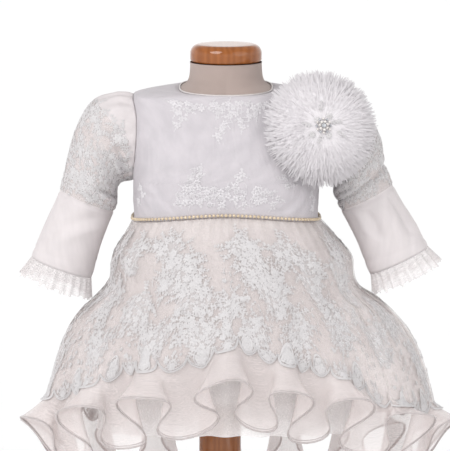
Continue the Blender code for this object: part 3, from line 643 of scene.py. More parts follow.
def lathe(name, profile, columns, replaced, centre_x=0.0):
    """A turned wooden piece from (radius, height above the floor) points down its outer side."""
    radius, height = np.array(profile).T
    height = height - WAIST_Z
    x = centre_x + radius[1:-1, None] * np.cos(turns(columns))
    y = radius[1:-1, None] * np.sin(turns(columns))
    z = np.broadcast_to(height[1:-1, None], x.shape)
    rings = np.stack([x, y, z], axis=-1).reshape(-1, 3)
    ends = np.array([(centre_x, 0.0, height[0]), (centre_x, 0.0, height[-1])])
    rows = len(profile) - 2
    faces = [tuple(f)[::-1] for f in grid_faces(rows, columns, True)]
    first, last = rows * columns, rows * columns + 1
    for c in range(columns):
        d = (c + 1) % columns
        faces.append((first, c, d))
        faces.append((last, (rows - 1) * columns + d, (rows - 1) * columns + c))
    obj = put_mesh(name, np.concatenate([rings, ends]), faces, "wood", "wood", replaced)
    obj.data.set_sharp_from_angle(angle=math.radians(60))


def arc(centre, radius, start, end, steps):
    angles = np.radians(np.linspace(start, end, steps + 1))
    return [(centre[0] + radius * math.cos(a), centre[1] + radius * math.sin(a)) for a in angles]


def stand():
    """Base, pole and neck cap, turned from wood."""
    edge = 7.0
    base = [(0.0, BASE_THICK), (BASE_RADIUS - edge - 20.0, BASE_THICK)]
    base += arc((BASE_RADIUS - edge, BASE_THICK - edge), edge, 90, 0, 8)
    base += [(BASE_RADIUS, 2.0), (BASE_RADIUS - 0.6, 0.6), (BASE_RADIUS - 2.0, 0.0), (0.0, 0.0)]
    lathe("stand_base", base, 96, "form_base")

    foot, head = BASE_THICK + SEAM, WAIST_Z + TORSO_FOOT - SEAM
    pole = [(0.0, head), (POLE_RADIUS - 0.5, head), (POLE_RADIUS, head - 0.5)]
    pole += [(POLE_RADIUS, foot + 0.5), (POLE_RADIUS - 0.5, foot), (0.0, foot)]
    lathe("stand_pole", pole, 64, "form_pole")

    under = WAIST_Z + NECK_TOP + SEAM
    round_edge = 9.0
    cap = [(0.0, under + CAP_THICK), (18.0, under + CAP_THICK)]
    cap += arc((CAP_RADIUS - round_edge, under + CAP_THICK - round_edge), round_edge, 88, 0, 9)
    cap += arc((CAP_RADIUS - 3.0, under + 3.0), 3.0, 0, -90, 5) + [(0.0, under)]
    lathe("stand_neck_cap", cap, 72, "form_neck_cap", BODY_X)


def torso():
    """The jersey-covered body and neck of the form."""
    columns = 128
    heights = np.concatenate([np.linspace(-150, 117, 34), np.linspace(118, NECK_TOP, 46)])[::-1]
    height, angle = crossed(heights, 360.0 * np.arange(columns) / columns)
    sizes = [read(TORSO, n, height) for n in ("width", "width", "front", "back", "power")]
    dip = 3.0 * cosine(angle) * np.maximum(0.0, 1 - np.abs(height - 131.5) / 9)
    radius = ring_radius(angle, *sizes) - 0.2
    neck_across, neck_deep = 45.4, 40.4
    neckline = ring_radius(angle, neck_across, neck_across, neck_deep, neck_deep, BODY_POWER)
    radius += np.maximum(0.0, neckline - radius) * hump(height, 131.2, 4.2)
    points = around(angle, radius, height - np.where(height > 120.0, dip, 0.0))
    put_cloth("form_jersey", Sheet(points, closed=True), "jersey", "jersey", "form_torso")


def bodice_point(angle, height):
    """Points on the middle of the bodice's cloth."""
    width, front, back, lift = (read(BODICE, name, height) for name in ("width", "front", "back", "lift"))
    lean = cosine(angle)
    lift = lift * np.where(height > ARMHOLE_MIDDLE, lean, np.maximum(0.0, lean) ** 1.5)
    return around(angle, ring_radius(angle, width, width, front, back, BODY_POWER), height + lift)


def armhole_angle(height):
    share = (height - ARMHOLE_MIDDLE) / ARMHOLE_HALF_HEIGHT
    return ARMHOLE_HALF_ANGLE * np.sqrt(np.maximum(0.0, 1.0 - share * share))


# Bodice creases: x is in millimetres round the body from the front, y is the height above the waist.
BODICE_CREASES = (
    (-84, 38, -62, 8, 4, 1.1),
    (-78, 30, -52, 4, 3, -0.9),
    (-92, 26, -70, 6, 4, 0.8),
    (88, 40, 64, 6, 4, 1.2),
    (80, 30, 50, 6, 3, -0.9),
    (96, 28, 78, 4, 4, 0.9),
    (-70, 58, -40, 62, 6, 0.8),
    (66, 56, 34, 64, 6, 0.8),
    (-60, 112, -84, 78, 5, 1.0),
    (58, 110, 82, 80, 5, 1.0),
    (-30, 20, -34, 96, 5, 0.5),
    (26, 18, 30, 90, 5, 0.5),
    (4, 30, 0, 100, 6, 0.4),
    (-110, 60, -128, 12, 5, 0.9),
    (112, 62, 130, 12, 5, 0.9),
    (-150, 110, -160, 30, 5, 0.7),
    (150, 108, 162, 26, 5, 0.7),
    (-185, 40, -160, 6, 5, 0.8),
    (186, 44, 160, 8, 5, 0.8),
    (255, 96, 212, 82, 4, 0.9),
    (-253, 94, -210, 86, 4, 0.9),
    (238, 120, 205, 66, 6, 1.0),
    (-236, 118, -198, 62, 6, 1.0),
    (258, 42, 216, 20, 4, 1.0),
    (-256, 44, -212, 18, 4, 1.0),
    (240, 26, 233, 3, 3, -1.0),
    (-228, 28, -236, 3, 3, -1.0),
    (208, 32, 202, 3, 3, 1.0),
    (-204, 32, -197, 3, 3, 1.0),
    (168, 98, 196, 48, 5, 0.9),
    (-170, 96, -202, 46, 5, 0.9),
)


def crepe_height(angle, height):
    """Relief of the crinkled bodice cloth: listed creases over a fine upright crinkle."""
    x = angle * BODICE_ROUND * np.pi / 180.0
    crinkle = 0.22 * uneven(x * 3.0, height * 0.45, 9.0, 11) + 0.12 * uneven(x * 4.0, height, 7.0, 12)
    quiet = np.clip(height / 10.0, 0.15, 1.0) * clipped((131.0 - height) / 8.0)
    return (creases(BODICE_CREASES, x, height) + crinkle) * quiet


ARMHOLE_ROWS = 0.6 * np.cos(np.linspace(0, np.pi, 45)) + np.linspace(0.4, -0.4, 45)
BODICE_ROWS = np.concatenate(
    [
        [132.0, 131.6, 131.0, 130.2, 129.0, 128.0, 127.0],
        ARMHOLE_MIDDLE + ARMHOLE_HALF_HEIGHT * ARMHOLE_ROWS,
        np.linspace(39.5, WAIST_GAP, 22),
    ]
)


def bodice_ends(first, last, heights):
    """A bodice panel's first and last angle at each height, where a side seam bends round the armhole."""
    hole = armhole_angle(heights)
    gap = np.degrees(SEAM / 2 / np.maximum(40.0, read(BODICE, "width", heights)))
    start = first + gap + (hole if abs(first) == 90.0 else 0.0)
    end = last - gap - (hole if abs(last) == 90.0 else 0.0)
    return start, end


def bodice_sheet(first, last, columns):
    start, end = bodice_ends(first, last, BODICE_ROWS)
    angle = start[:, None] + (end - start)[:, None] * np.linspace(0.0, 1.0, columns)
    height = np.broadcast_to(BODICE_ROWS[:, None], angle.shape)
    return Sheet(bodice_point(angle, height)).raised(crepe_height(angle, height))


def bodice():
    """The bodice's three panels. Gives the front one's sheet."""
    for name, first, last, columns in (
        ("bodice_back_left", 90.0, 180.0, 76),
        ("bodice_back_right", -180.0, -90.0, 76),
        ("bodice_front", -90.0, 90.0, 150),
    ):
        sheet = bodice_sheet(first, last, columns)
        put_cloth(f"{name}_cloth", sheet, "crepe", "satin", name, thick=CLOTH_THICK)
    return sheet


def armhole_ring(turn):
    """The armhole's edge at turns from its outer side, on the wearer's left, just outside the bodice."""
    height = ARMHOLE_MIDDLE + ARMHOLE_HALF_HEIGHT * np.cos(turn)
    angle = 90.0 - ARMHOLE_HALF_ANGLE * np.sin(turn)
    return bodice_point(angle, height) + np.array([0.35, 0.0, 0.0])


def sleeve_section(section, turn, swing):
    """Points of the wearer's left sleeve, turn radians from its outer side round the front."""
    names = ("outer_x", "outer_z", "inner_x", "inner_z", "depth", "forward")
    outer_x, outer_z, inner_x, inner_z, depth, forward = (read(SLEEVE, name, section) for name in names)
    x = (outer_x + inner_x) / 2 + (outer_x - inner_x) / 2 * np.cos(turn)
    z = (outer_z + inner_z) / 2 + (outer_z - inner_z) / 2 * np.cos(turn)
    y = -depth * np.sin(turn) - forward
    lean = np.radians(swing * np.minimum(1.0, section / CUFF))
    under_x, under_z = 98.0, 38.0
    dx, dz = x - under_x, z - under_z
    x = under_x + dx * np.cos(lean) - dz * np.sin(lean)
    z = under_z + dx * np.sin(lean) + dz * np.cos(lean)
    return np.stack([x + BODY_X, y, z], axis=-1)


def mirrored(points, side):
    out = points.copy()
    out[..., 0] = BODY_X + side * (points[..., 0] - BODY_X)
    return out


# Creases of each sleeve: x is in degrees from its outer side round the front, y is the section, 0 at the
# armhole and 9 at the cuff.
RIGHT_CREASES = (
    (150, 0.6, 60, 2.3, 0.20, -2.0),
    (165, 1.1, 75, 2.9, 0.22, 1.8),
    (175, 4.6, 100, 5.1, 0.24, -3.0),
    (178, 5.3, 60, 5.6, 0.22, 2.0),
    (170, 6.2, 20, 8.2, 0.30, -1.5),
    (165, 6.9, 40, 8.7, 0.30, 1.2),
    (130, 3.4, 40, 3.9, 0.25, 1.2),
    (70, 6.2, 10, 7.0, 0.25, 1.0),
    (190, 4.8, 300, 5.4, 0.24, -2.4),
    (190, 5.5, 310, 6.0, 0.22, 1.9),
    (230, 2.4, 330, 3.6, 0.26, 1.8),
    (250, 6.4, 330, 8.0, 0.28, 2.0),
    (205, 6.3, 300, 7.0, 0.24, -2.2),
    (215, 7.6, 300, 8.5, 0.28, -1.6),
    (215, 1.4, 260, 3.0, 0.30, -1.8),
)
LEFT_CREASES = (
    (160, 0.8, 60, 2.0, 0.22, -1.8),
    (150, 1.6, 70, 3.2, 0.24, 1.6),
    (172, 4.3, 110, 4.8, 0.24, -2.6),
    (100, 6.3, 108, 8.0, 0.34, -2.8),
    (122, 6.2, 130, 7.6, 0.30, 1.8),
    (40, 6.1, 44, 8.2, 0.34, -3.0),
    (66, 6.4, 74, 8.5, 0.40, 1.6),
    (10, 6.6, 18, 8.4, 0.30, 1.6),
    (110, 3.2, 30, 4.0, 0.28, 1.5),
    (195, 4.6, 310, 5.3, 0.24, -2.2),
    (200, 5.4, 320, 5.9, 0.22, 1.8),
    (235, 6.4, 245, 8.2, 0.34, -2.2),
    (290, 6.2, 300, 8.0, 0.34, -2.0),
    (262, 6.5, 272, 8.5, 0.36, 2.0),
    (225, 1.4, 290, 3.0, 0.28, 1.6),
)


def sleeve_relief(side, degrees, section):
    """Gathers at the sleeve's head, its puff, its seams and its creases."""
    pleat = clipped(1.0 - section / 3.0) * clipped(section / 0.12)
    turn = np.radians(degrees)
    gathers = 1.3 * (0.75 + 0.5 * np.cos(turn)) * pleat * np.sin(turn * 17 + 0.9 * np.sin(turn * 3))
    rows = LEFT_CREASES if side > 0 else RIGHT_CREASES
    # x is scaled down to sections so that a crease's half width is the same both ways.
    relief = creases([(a / 30, b, c / 30, d, half, h) for a, b, c, d, half, h in rows], degrees / 30, section)
    puff = 2.2 * hump(section, 4.1, 0.8) if side > 0 else 0.8 * hump(section, 4.9, 0.9)
    seam = -1.0 * hump(section, ELBOW, 0.06)
    if side > 0:
        seam = seam - 2.6 * hump(section, 5.15, 0.13)
    hem = -0.6 * hump(section, 8.6, 0.05) - 0.7 * hump(section, CUFF, 0.12)
    soft = 0.7 * uneven(degrees * 0.6, section * 18.0, 60.0, 21 + side)
    return gathers + relief + puff + seam + hem + soft


def sleeve_sheet(side, swing):
    s, t = crossed(np.linspace(0.0, CUFF, 104), -side * turns(120))
    blend = clipped(s)[..., None]
    points = armhole_ring(t) * (1 - blend) + sleeve_section(np.maximum(s, 1.0), t, swing) * blend
    relief = sleeve_relief(side, np.degrees(t) % 360.0, s) * clipped(s / 0.3)
    return Sheet(mirrored(points, side), closed=True).raised(relief)


def frill_sheet(side, swing, seed):
    """The gathered net frill at a cuff."""
    columns = CUFF_GATHERS * 12
    turn = -side * turns(columns)
    cuff = sleeve_section(np.full(columns, CUFF), turn, swing)
    before = sleeve_section(np.full(columns, CUFF - 1.0), turn, swing)
    middle = cuff.mean(axis=0)
    along = unit(middle - before.mean(axis=0))
    out = cuff - middle
    draw = np.random.default_rng(seed)
    steady = np.repeat(draw.uniform(0.65, 1.25, CUFF_GATHERS), 12)
    ragged = np.repeat(draw.uniform(-2.2, 2.2, CUFF_GATHERS * 4), 3)
    share = np.linspace(0.0, 1.0, 14)[:, None]
    spread = 0.975 + 0.155 * share
    wavy = (0.5 + 2.0 * share) * steady * np.cos(CUFF_GATHERS * turn + 0.5 * share * np.sin(3 * turn))
    reach = SEAM + 0.25 + share * (FRILL_LENGTH + ragged * share)
    points = middle + out * spread[..., None] + unit(out) * wavy[..., None] + along * reach[..., None]
    return Sheet(mirrored(points, side), closed=True)


def sleeves():
    """Both sleeves and their frills. Gives each sleeve's sheet."""
    made = {}
    for word, side, swing in (("left", 1, LEFT_SLEEVE_SWING), ("right", -1, 0.0)):
        made[word] = sleeve_sheet(side, swing)
        replaced = (f"sleeve_upper_{word}", f"sleeve_lower_{word}")
        put_cloth(f"sleeve_{word}_cloth", made[word], "satin", "satin", *replaced, thick=CLOTH_THICK)
        frill = frill_sheet(side, swing, 31 + side)
        put_cloth(f"frill_{word}_net", frill, "frill", "net", f"cuff_frill_{word}")
    return made


PEAKS = FLUTES["peak"]
NEXT_PEAKS = np.append(PEAKS[1:], PEAKS[0] + 360.0)
VALLEYS_AFTER = (PEAKS + NEXT_PEAKS) / 2
VALLEYS_BEFORE = np.append(VALLEYS_AFTER[-1] - 360.0, VALLEYS_AFTER[:-1])


def meander():
    """A flute's edge seen from above, as along and out: it swells past its own neck, as stiff hems do."""
    steps = 360
    heading = FLUTE_TURN * np.sin(2 * np.pi * (np.arange(steps) + 0.5) / steps)
    along = np.append(0.0, np.cumsum(np.cos(heading)))
    out = np.append(0.0, np.cumsum(np.sin(heading)))
    return 2 * along / along[-1] - 1, out / out.max()


FLUTE_ALONG, FLUTE_UP = meander()


def flute_of(angle):
    """The flute that each angle lies in, and its share from -1 at the valley before to 1 at the one after."""
    angle = (angle - VALLEYS_BEFORE[0]) % 360.0 + VALLEYS_BEFORE[0]
    number = np.clip(np.searchsorted(VALLEYS_AFTER, angle, side="right"), 0, len(PEAKS) - 1)
    off = angle - PEAKS[number]
    return number, off / half_flute(number, off)


def half_flute(number, way):
    """Degrees from a flute's peak to its valley, on the side that way's sign says."""
    before = PEAKS[number] - VALLEYS_BEFORE[number]
    after = VALLEYS_AFTER[number] - PEAKS[number]
    return np.where(way < 0, before, after)


def between(number, share):
    return PEAKS[number] + share * half_flute(number, share)


def skirt_radius(angle, depth):
    sizes = [read(SKIRT, name, depth) for name in ("right", "left", "front", "back", "power")]
    folds = sum(
        fold * hump(turned_to_half(angle - valley), 0.0, FOLD_HALF_ANGLE)
        for fold, valley in zip(FLUTES["fold"], VALLEYS_AFTER)
    )
    deep = np.maximum(0.0, depth)
    soft = 1.6 * uneven(angle * 2.6, depth * 0.35, 46.0, 41) * clipped(deep / 60.0)
    gathers = 0.7 * np.sin(np.radians(angle) * 48 + 1.3 * sine(angle * 7)) * np.exp(-deep / 22.0)
    return ring_radius(angle, *sizes) - folds * (deep / 150.0) ** 1.2 + soft + gathers


def lace_foot(angle):
    """The height where the organza's upper part ends and its flutes start, just under the lace."""
    return LACE_ON_FLUTE - read(HEM, "lace", turned_to_half(angle))


def skirt_surface(angle, length):
    """Points of the organza, at an angle and a length down from the waist seam to its flutes' edge.

    The length is in shares: 0 is the waist, 1 the start of the flutes and 2 their edge.
    """
    angle, length = np.broadcast_arrays(angle, length)
    down, past = clipped(length), clipped(length - 1.0)
    top = waist_lift(angle) - WAIST_GAP
    foot = lace_foot(angle)
    height = top + (foot - top) * down
    radius = skirt_radius(angle, np.where(length < 1.0, top - height, top - foot))
    number, share = flute_of(angle)
    place = (share + 1) / 2 * (len(FLUTE_UP) - 1)
    along = np.interp(place, np.arange(len(FLUTE_UP)), FLUTE_ALONG)
    out = np.interp(place, np.arange(len(FLUTE_UP)), FLUTE_UP)
    edge_angle = between(number, along)
    edge_held = turned_to_half(edge_angle)
    edge_radius = skirt_radius(edge_angle, read(HEM, "lace", edge_held)) + FLUTE_NECK_OUT + FLUTE_OUT * out
    edge_height = FLUTE_LIFT * out - read(HEM, "edge", edge_held)
    bend = past**1.4
    turn = turned_to_half(edge_angle - angle)
    radius = radius + (edge_radius - radius) * bend
    return around(angle + turn * bend, radius, height + (edge_height - height) * past)


def panel_angles(first, last):
    """Angles of a skirt panel's columns, each flute divided alike."""
    total, columns = len(PEAKS), 30
    count = (last - first) % total or total
    shares = np.linspace(-1.0, 1.0, columns, endpoint=False)
    angles = []
    for k in range(count):
        number = (first + k) % total
        here = between(np.full(columns, number), shares)
        angles.append(here + (360.0 if first + k >= total else 0.0))
    end = VALLEYS_AFTER[(last - 1) % total] + (360.0 if last - 1 >= total or last < first else 0.0)
    row = np.append(np.concatenate(angles), end)
    row[0] += 0.06
    row[-1] -= 0.06
    return row


class LacePanel:
    """The lace over one skirt panel: its sheet, and where an angle and a depth below the waist lie on it."""

    def __init__(self, angles):
        self.angles = angles
        past = np.linspace(0.0, 0.6, 31)[:, None]
        flutes = skirt_surface(angles, 1.0 + past)
        step = np.linalg.norm(np.diff(flutes, axis=0), axis=-1)
        far = np.concatenate([np.zeros((1, len(angles))), np.cumsum(step, axis=0)])
        phase = (flute_of(angles)[1] + 1) / 2 * SCALLOPS_PER_FLUTE
        drop = SCALLOP_LENGTH * (0.1 + 0.9 * np.abs(np.sin(np.pi * phase)) ** 0.6)
        reach = [np.interp([SCALLOP_LENGTH, d], far[:, c], past[:, 0]) for c, d in enumerate(drop)]
        self.hem, ends = 1.0 + np.array(reach).T
        share = np.linspace(0.0, 1.0, 62)[:, None]
        self.full = Sheet(skirt_surface(angles, LACE_TOP + (self.hem - LACE_TOP) * share))
        cut = Sheet(skirt_surface(angles, LACE_TOP + (ends - LACE_TOP) * share))
        self.cut = cut.raised(LACE_OFFSET)
        self.ends = (ends - LACE_TOP) / (self.hem - LACE_TOP)

    def place(self, angle, depth):
        """u and v on the full sheet."""
        u = np.interp(angle, self.angles, np.linspace(0.0, 1.0, len(self.angles)))
        hem = np.interp(angle, self.angles, self.hem)
        top = waist_lift(angle) - WAIST_GAP
        return float(u), float(((top + depth) / (top - lace_foot(angle)) - LACE_TOP) / (hem - LACE_TOP))


def spun(points, turn):
    """Points turned in their own plane."""
    c, s = math.cos(turn), math.sin(turn)
    out = np.array(points, dtype=float)
    out[:, :2] = out[:, :2] @ np.array([(c, s), (-s, c)])
    return out


def petal_shape(length, width, rise, turn):
    """One petal or leaf: a pointed oval with a raised middle, as points (x, y, height) and faces."""
    points = [(0.0, 0.0, 0.1)]
    for share, wide in ((0.3, 0.42), (0.7, 0.46)):
        for way in (-1, 0, 1):
            points.append((way * wide * width, share * length, 0.12 if way else rise))
    points.append((0.0, length, 0.1))
    faces = [(0, 2, 1), (0, 3, 2), (1, 2, 5, 4), (2, 3, 6, 5), (4, 5, 7), (5, 6, 7)]
    return spun(points, turn), faces


def joined(shapes):
    points, faces, count = [], [], 0
    for p, f in shapes:
        points.append(p)
        faces += [tuple(i + count for i in face) for face in f]
        count += len(p)
    return np.concatenate(points), faces


def dot_shape(radius, rise):
    ring = [(radius * math.cos(a), radius * math.sin(a), 0.1) for a in np.linspace(0, 2 * np.pi, 7)[:-1]]
    return np.array([(0.0, 0.0, rise)] + ring), [(0, 1 + i, 1 + (i + 1) % 6) for i in range(6)]


def floret(petals):
    """A small flower of radius 1 with a round middle."""
    shapes = [petal_shape(1.0, 3.6 / petals, 0.9, 2 * np.pi * i / petals) for i in range(petals)]
    return joined(shapes + [dot_shape(0.24, 1.4)])


def ring_shape(radius, width, rise, steps):
    """A raised cord in a ring."""
    points, faces = [], []
    for i in range(steps):
        a = 2 * np.pi * i / steps
        for r, h in ((radius - width / 2, 0.1), (radius, rise), (radius + width / 2, 0.1)):
            points.append((r * math.cos(a), r * math.sin(a), h))
    for i in range(steps):
        j = (i + 1) % steps
        faces += [(3 * i + k, 3 * i + k + 1, 3 * j + k + 1, 3 * j + k) for k in range(2)]
    return np.array(points), faces


def rosette(radius):
    """The round motif of the hem: a corded ring about a close rose of overlapping petals."""
    shapes = [ring_shape(radius * 0.95, 1.2, 1.6, 22), dot_shape(radius * 0.9, 0.9)]
    for number, size, far, rise in ((9, 0.40, 0.42, 1.3), (6, 0.34, 0.2, 1.8)):
        for i in range(number):
            points, faces = petal_shape(radius * size, radius * size * 1.1, rise, 0.0)
            points[:, 1] += radius * far
            shapes.append((spun(points, 2 * np.pi * (i + far) / number), faces))
    return joined(shapes + [dot_shape(radius * 0.2, 2.4)])

def strip_faces(count):
    """Faces of a strip of rows of three points."""
    corners = [3 * i + j for i in range(count - 1) for j in range(2)]
    return [(a, a + 1, a + 4, a + 3) for a in corners]


def sprig(length, leaves, bend):
    """A bent stem with leaves in pairs that shrink towards its tip."""
    points = []
    for share in np.linspace(0.0, 1.0, 5):
        for way, rise in ((-0.4, 0.1), (0.0, 0.6), (0.4, 0.1)):
            points.append((bend * length * share**2 + way, length * share, rise))
    shapes = [(np.array(points), strip_faces(5))]
    for k in range(leaves):
        at = (k + 0.6) / leaves
        size = length * 0.32 * (1.05 - 0.5 * at)
        for way in (-1, 1):
            leaf, faces = petal_shape(size, size * 0.5, 0.8, -way * 0.95)
            leaf[:, :2] += (bend * length * at**2, length * at * 0.92)
            shapes.append((leaf, faces))
    return joined(shapes)


FLORETS = [floret(petals) for petals in (5, 6, 8)]


class Embroidery:
    """Corded lace work in one mesh, each motif bent to the sheet that it lies on, and its net filling."""

    def __init__(self, sheet, lift):
        self.sheet, self.lift, self.many, self.filling = sheet, lift, Many(), Many()

    def beside(self, u, v, x, y):
        """The place x to the side of another and y above it, in millimetres."""
        per_u, per_v = self.sheet.per_mm(u, v)
        return u + x * per_u, v - y * per_v

    def held(self, across, down, limit):
        """The same places, kept on the sheet."""
        return across if self.sheet.closed else np.clip(across, 0.001, 0.999), np.clip(down, 0.004, limit)

    def lay(self, motif, u, v, turn=0.0, size=1.0, rise=1.0, limit=1.0):
        points, faces = motif
        flat = spun(points, turn) * (size, size, rise * EMBROIDERY_RELIEF)
        places = self.held(*self.beside(u, v, flat[:, 0], flat[:, 1]), limit)
        self.many.add(self.sheet.read(*places, self.lift + flat[:, 2]), faces)

    def line(self, us, vs, width, rise):
        """A cord laid through places on the sheet."""
        middle = self.sheet.read(us, vs, np.full(len(us), self.lift + rise))
        foot = self.sheet.read(us, vs, np.full(len(us), self.lift))
        side = unit(np.cross(np.gradient(foot, axis=0), middle - foot))
        points = np.stack([foot - side * width / 2, middle, foot + side * width / 2], axis=1)
        self.many.add(points, strip_faces(len(us)))

    def fill(self, u, v, wide, tall, seed, limit):
        """The oval of close net under a bouquet."""
        turn = np.linspace(0.0, 2 * np.pi, 25)[:-1]
        rim = 0.92 + 0.10 * np.sin(turn * 7 + seed) + 0.06 * np.sin(turn * 11)
        far = np.array([[0.02], [0.35], [0.7], [1.0]]) * rim
        offset = (far * np.cos(turn) * wide).ravel(), (far * np.sin(turn) * tall).ravel()
        lift = np.full(far.size, self.lift + 0.04 + 0.02 * (seed % 3))
        places = self.held(*self.beside(u, v, *offset), limit)
        self.filling.add(self.sheet.read(*places, lift), grid_faces(4, 24, True))

    def bouquet(self, u, v, wide, tall, flowers, seed, limit=1.0):
        """Flowers, leaves and curling stems in an oval, thick in its middle and loose at its rim."""
        self.fill(u, v, wide, tall, seed, limit)
        draw = np.random.default_rng(seed)
        placed = []
        for wanted, least, most, apart in ((flowers, 3.2, 5.6, 0.74), (3 * flowers, 1.4, 2.3, 0.72)):
            for _ in range(wanted * 6):
                if len(placed) >= wanted:
                    break
                way, far = draw.uniform(0, 2 * np.pi), draw.uniform(0, 1) ** 0.55
                x, y = far * wide * math.cos(way), far * tall * math.sin(way)
                size = draw.uniform(least, most) * (1.12 - 0.35 * far)
                if all(math.hypot(x - a, y - b) > apart * (size + c) for a, b, c in placed):
                    placed.append((x, y, size))
        for x, y, size in placed:
            large = size >= 2.4
            kind = FLORETS[draw.integers(0, 3)] if large else FLORETS[0]
            spin = draw.uniform(0, 6.3)
            self.lay(kind, *self.beside(u, v, x, y), spin, size, 1.2 if large else 0.75, limit)
            for _ in range(2 if large else 0):
                turn = math.atan2(y, x) - math.pi / 2 + draw.uniform(-1.1, 1.1)
                leaf = sprig(draw.uniform(7.0, 12.0), 3, draw.uniform(-0.4, 0.4))
                px, py = x - math.sin(turn) * size * 0.8, y + math.cos(turn) * size * 0.8
                self.lay(leaf, *self.beside(u, v, px, py), turn, 1.0, 0.8, limit)

    def scatter(self, count, seed):
        """Loose small flowers and sprigs between the bouquets."""
        draw = np.random.default_rng(seed)
        for _ in range(count):
            u, v = draw.uniform(0.01, 0.99), draw.uniform(0.12, 0.8)
            if draw.uniform() < 0.5:
                flower = FLORETS[draw.integers(0, 2)]
                self.lay(flower, u, v, draw.uniform(0, 6.3), draw.uniform(1.2, 2.0), 0.8)
            else:
                stem = sprig(draw.uniform(5.0, 9.0), 2, draw.uniform(-0.5, 0.5))
                self.lay(stem, u, v, draw.uniform(0, 6.3), 1.0, 0.7)


# Bouquets of the skirt: angle, depth below the waist, half width, half height, flowers.
FRONT_BOUQUETS = (
    (-56, 30, 14, 20, 12), (-36, 20, 14, 14, 10), (-26, 40, 20, 20, 20), (-16, 62, 18, 18, 16),
    (-44, 76, 17, 20, 15), (-32, 106, 22, 14, 18), (-12, 98, 20, 16, 18), (2, 74, 14, 15, 11),
    (9, 14, 13, 11, 10), (16, 34, 15, 18, 16), (24, 62, 18, 22, 20), (12, 94, 14, 14, 11),
    (34, 22, 12, 14, 9), (33, 96, 14, 18, 12), (46, 48, 13, 28, 15), (50, 92, 13, 26, 14),
    (64, 56, 13, 26, 12), (64, 118, 18, 24, 16), (-66, 74, 16, 28, 16), (-58, 122, 20, 18, 16),
    (76, 92, 15, 26, 13), (82, 146, 20, 26, 17), (-82, 140, 20, 26, 17), (-80, 66, 14, 22, 10),
    (70, 22, 12, 14, 7), (-74, 24, 12, 14, 7),
)


def scallop_middles(angles):
    """Shares along a lace panel of the middles of its scallops."""
    share = flute_of(angles)[1]
    phase = np.unwrap(np.pi * (share + 1) * SCALLOPS_PER_FLUTE) / (2 * np.pi)
    first, last = int(np.ceil(phase[0])), int(np.floor(phase[-1]))
    return np.interp(np.arange(first, last + 1) - 0.5, phase, np.linspace(0.0, 1.0, len(angles)))


def scallop_work(work, u, number, draw):
    """The close work of one scallop of the lace's hem, a round motif or a fan, and the flowers above it."""
    per_u, per_v = work.sheet.per_mm(u, 0.9)

    def up(x, y):
        return u + x * per_u, 1.0 - y * per_v

    if number % 2:
        radius = draw.uniform(7.2, 8.6)
        work.lay(rosette(radius), *up(0.0, radius + 1.5), draw.uniform(0, 1), limit=0.995)
        foot = 2 * radius + 2.0
    else:
        for turn in (-1.3, -0.85, -0.4, 0.0, 0.4, 0.85, 1.3):
            leaf = sprig(11.0 - 2.5 * abs(turn), 3, 0.1 * turn)
            work.lay(leaf, *up(0.0, 5.5), -turn, 1.0, 0.9, 0.985)
        work.lay(FLORETS[1], *up(0.0, 5.0), draw.uniform(0, 6), 4.4, 1.1, 0.99)
        foot = 12.0
    for x, y in ((-7, 1), (0, 3), (7, 0), (-4, 8), (4, 9), (-8.5, 13), (0, 14), (8, 15), (-3, 20), (5, 21)):
        size = draw.uniform(1.8, 3.4)
        px, py = x + draw.uniform(-1.5, 1.5), foot + y + draw.uniform(-1.5, 1.5)
        work.lay(FLORETS[draw.integers(0, 3)], *up(px, py), draw.uniform(0, 6), size)
        if y > 7:
            turn = draw.uniform(-0.9, 0.9)
            work.lay(sprig(draw.uniform(6, 9), 2, 0.2), *up(px, py + 2), turn)


def lace_panel(word, angles, seed, bouquets):
    """A lace panel: its net ground, its embroidery and the corded scallops of its hem."""
    panel = LacePanel(angles)
    put_cloth(f"lace_{word}_ground", panel.cut, "tulle", "lace", f"skirt_lace_{word}")
    work = Embroidery(panel.full, LACE_OFFSET + 0.15)
    for k, (angle, depth, wide, tall, flowers) in enumerate(bouquets):
        work.bouquet(*panel.place(angle, depth), wide, tall, flowers, seed + k, limit=0.955)
    columns = len(angles)
    hem_u = np.linspace(0.002, 0.998, columns * 2)
    ends = np.interp(hem_u, np.linspace(0, 1, columns), panel.ends)
    work.line(hem_u, np.minimum(ends - 0.004, 1.0), 1.6, 1.2)
    work.line(hem_u, np.minimum(ends - 0.028, 0.985), 1.0, 0.8)
    draw = np.random.default_rng(seed + 900)
    for number, u in enumerate(scallop_middles(angles)):
        scallop_work(work, u, number, draw)
    work.scatter(columns // 3, seed + 500)
    work.many.put(f"lace_{word}_embroidery", "thread", "lace")
    work.filling.put(f"lace_{word}_filling", "filling", "lace")


def back_bouquets():
    """The back panel's bouquets, in staggered rows."""
    rows = ((28, 13, 9), (60, 17, 12), (98, 19, 15), (138, 20, 15), (178, 20, 14))
    return [
        (108 + 36 * k + (18 if r % 2 and k < 4 else 0), depth, wide, wide * 1.1, flowers)
        for r, (depth, wide, flowers) in enumerate(rows)
        for k in range(5)
    ]


def skirt():
    """The organza's two panels with their stiffened edges, and the lace over each."""
    length = np.concatenate([np.linspace(0.0, 1.0, 46, endpoint=False), np.linspace(1.0, 2.0, 34)])[:, None]
    for word, first, last, seed, bouquets in (
        ("front", *FRONT_FLUTES, 100, FRONT_BOUQUETS),
        ("back", *reversed(FRONT_FLUTES), 400, back_bouquets()),
    ):
        angles = panel_angles(first, last)
        sheet = Sheet(skirt_surface(angles, length))
        put_cloth(f"organza_{word}_sheet", sheet, "organza", "organza", f"skirt_organza_{word}")
        hem = Many()
        for row, radius in ((-1, 0.85), (-2, 0.45)):
            hem.add(*tube(sheet.points[row], radius, 8, closed=False))
        hem.put(f"organza_{word}_rolled_hem", "edge", "organza")
        lace_panel(word, angles, seed, bouquets)


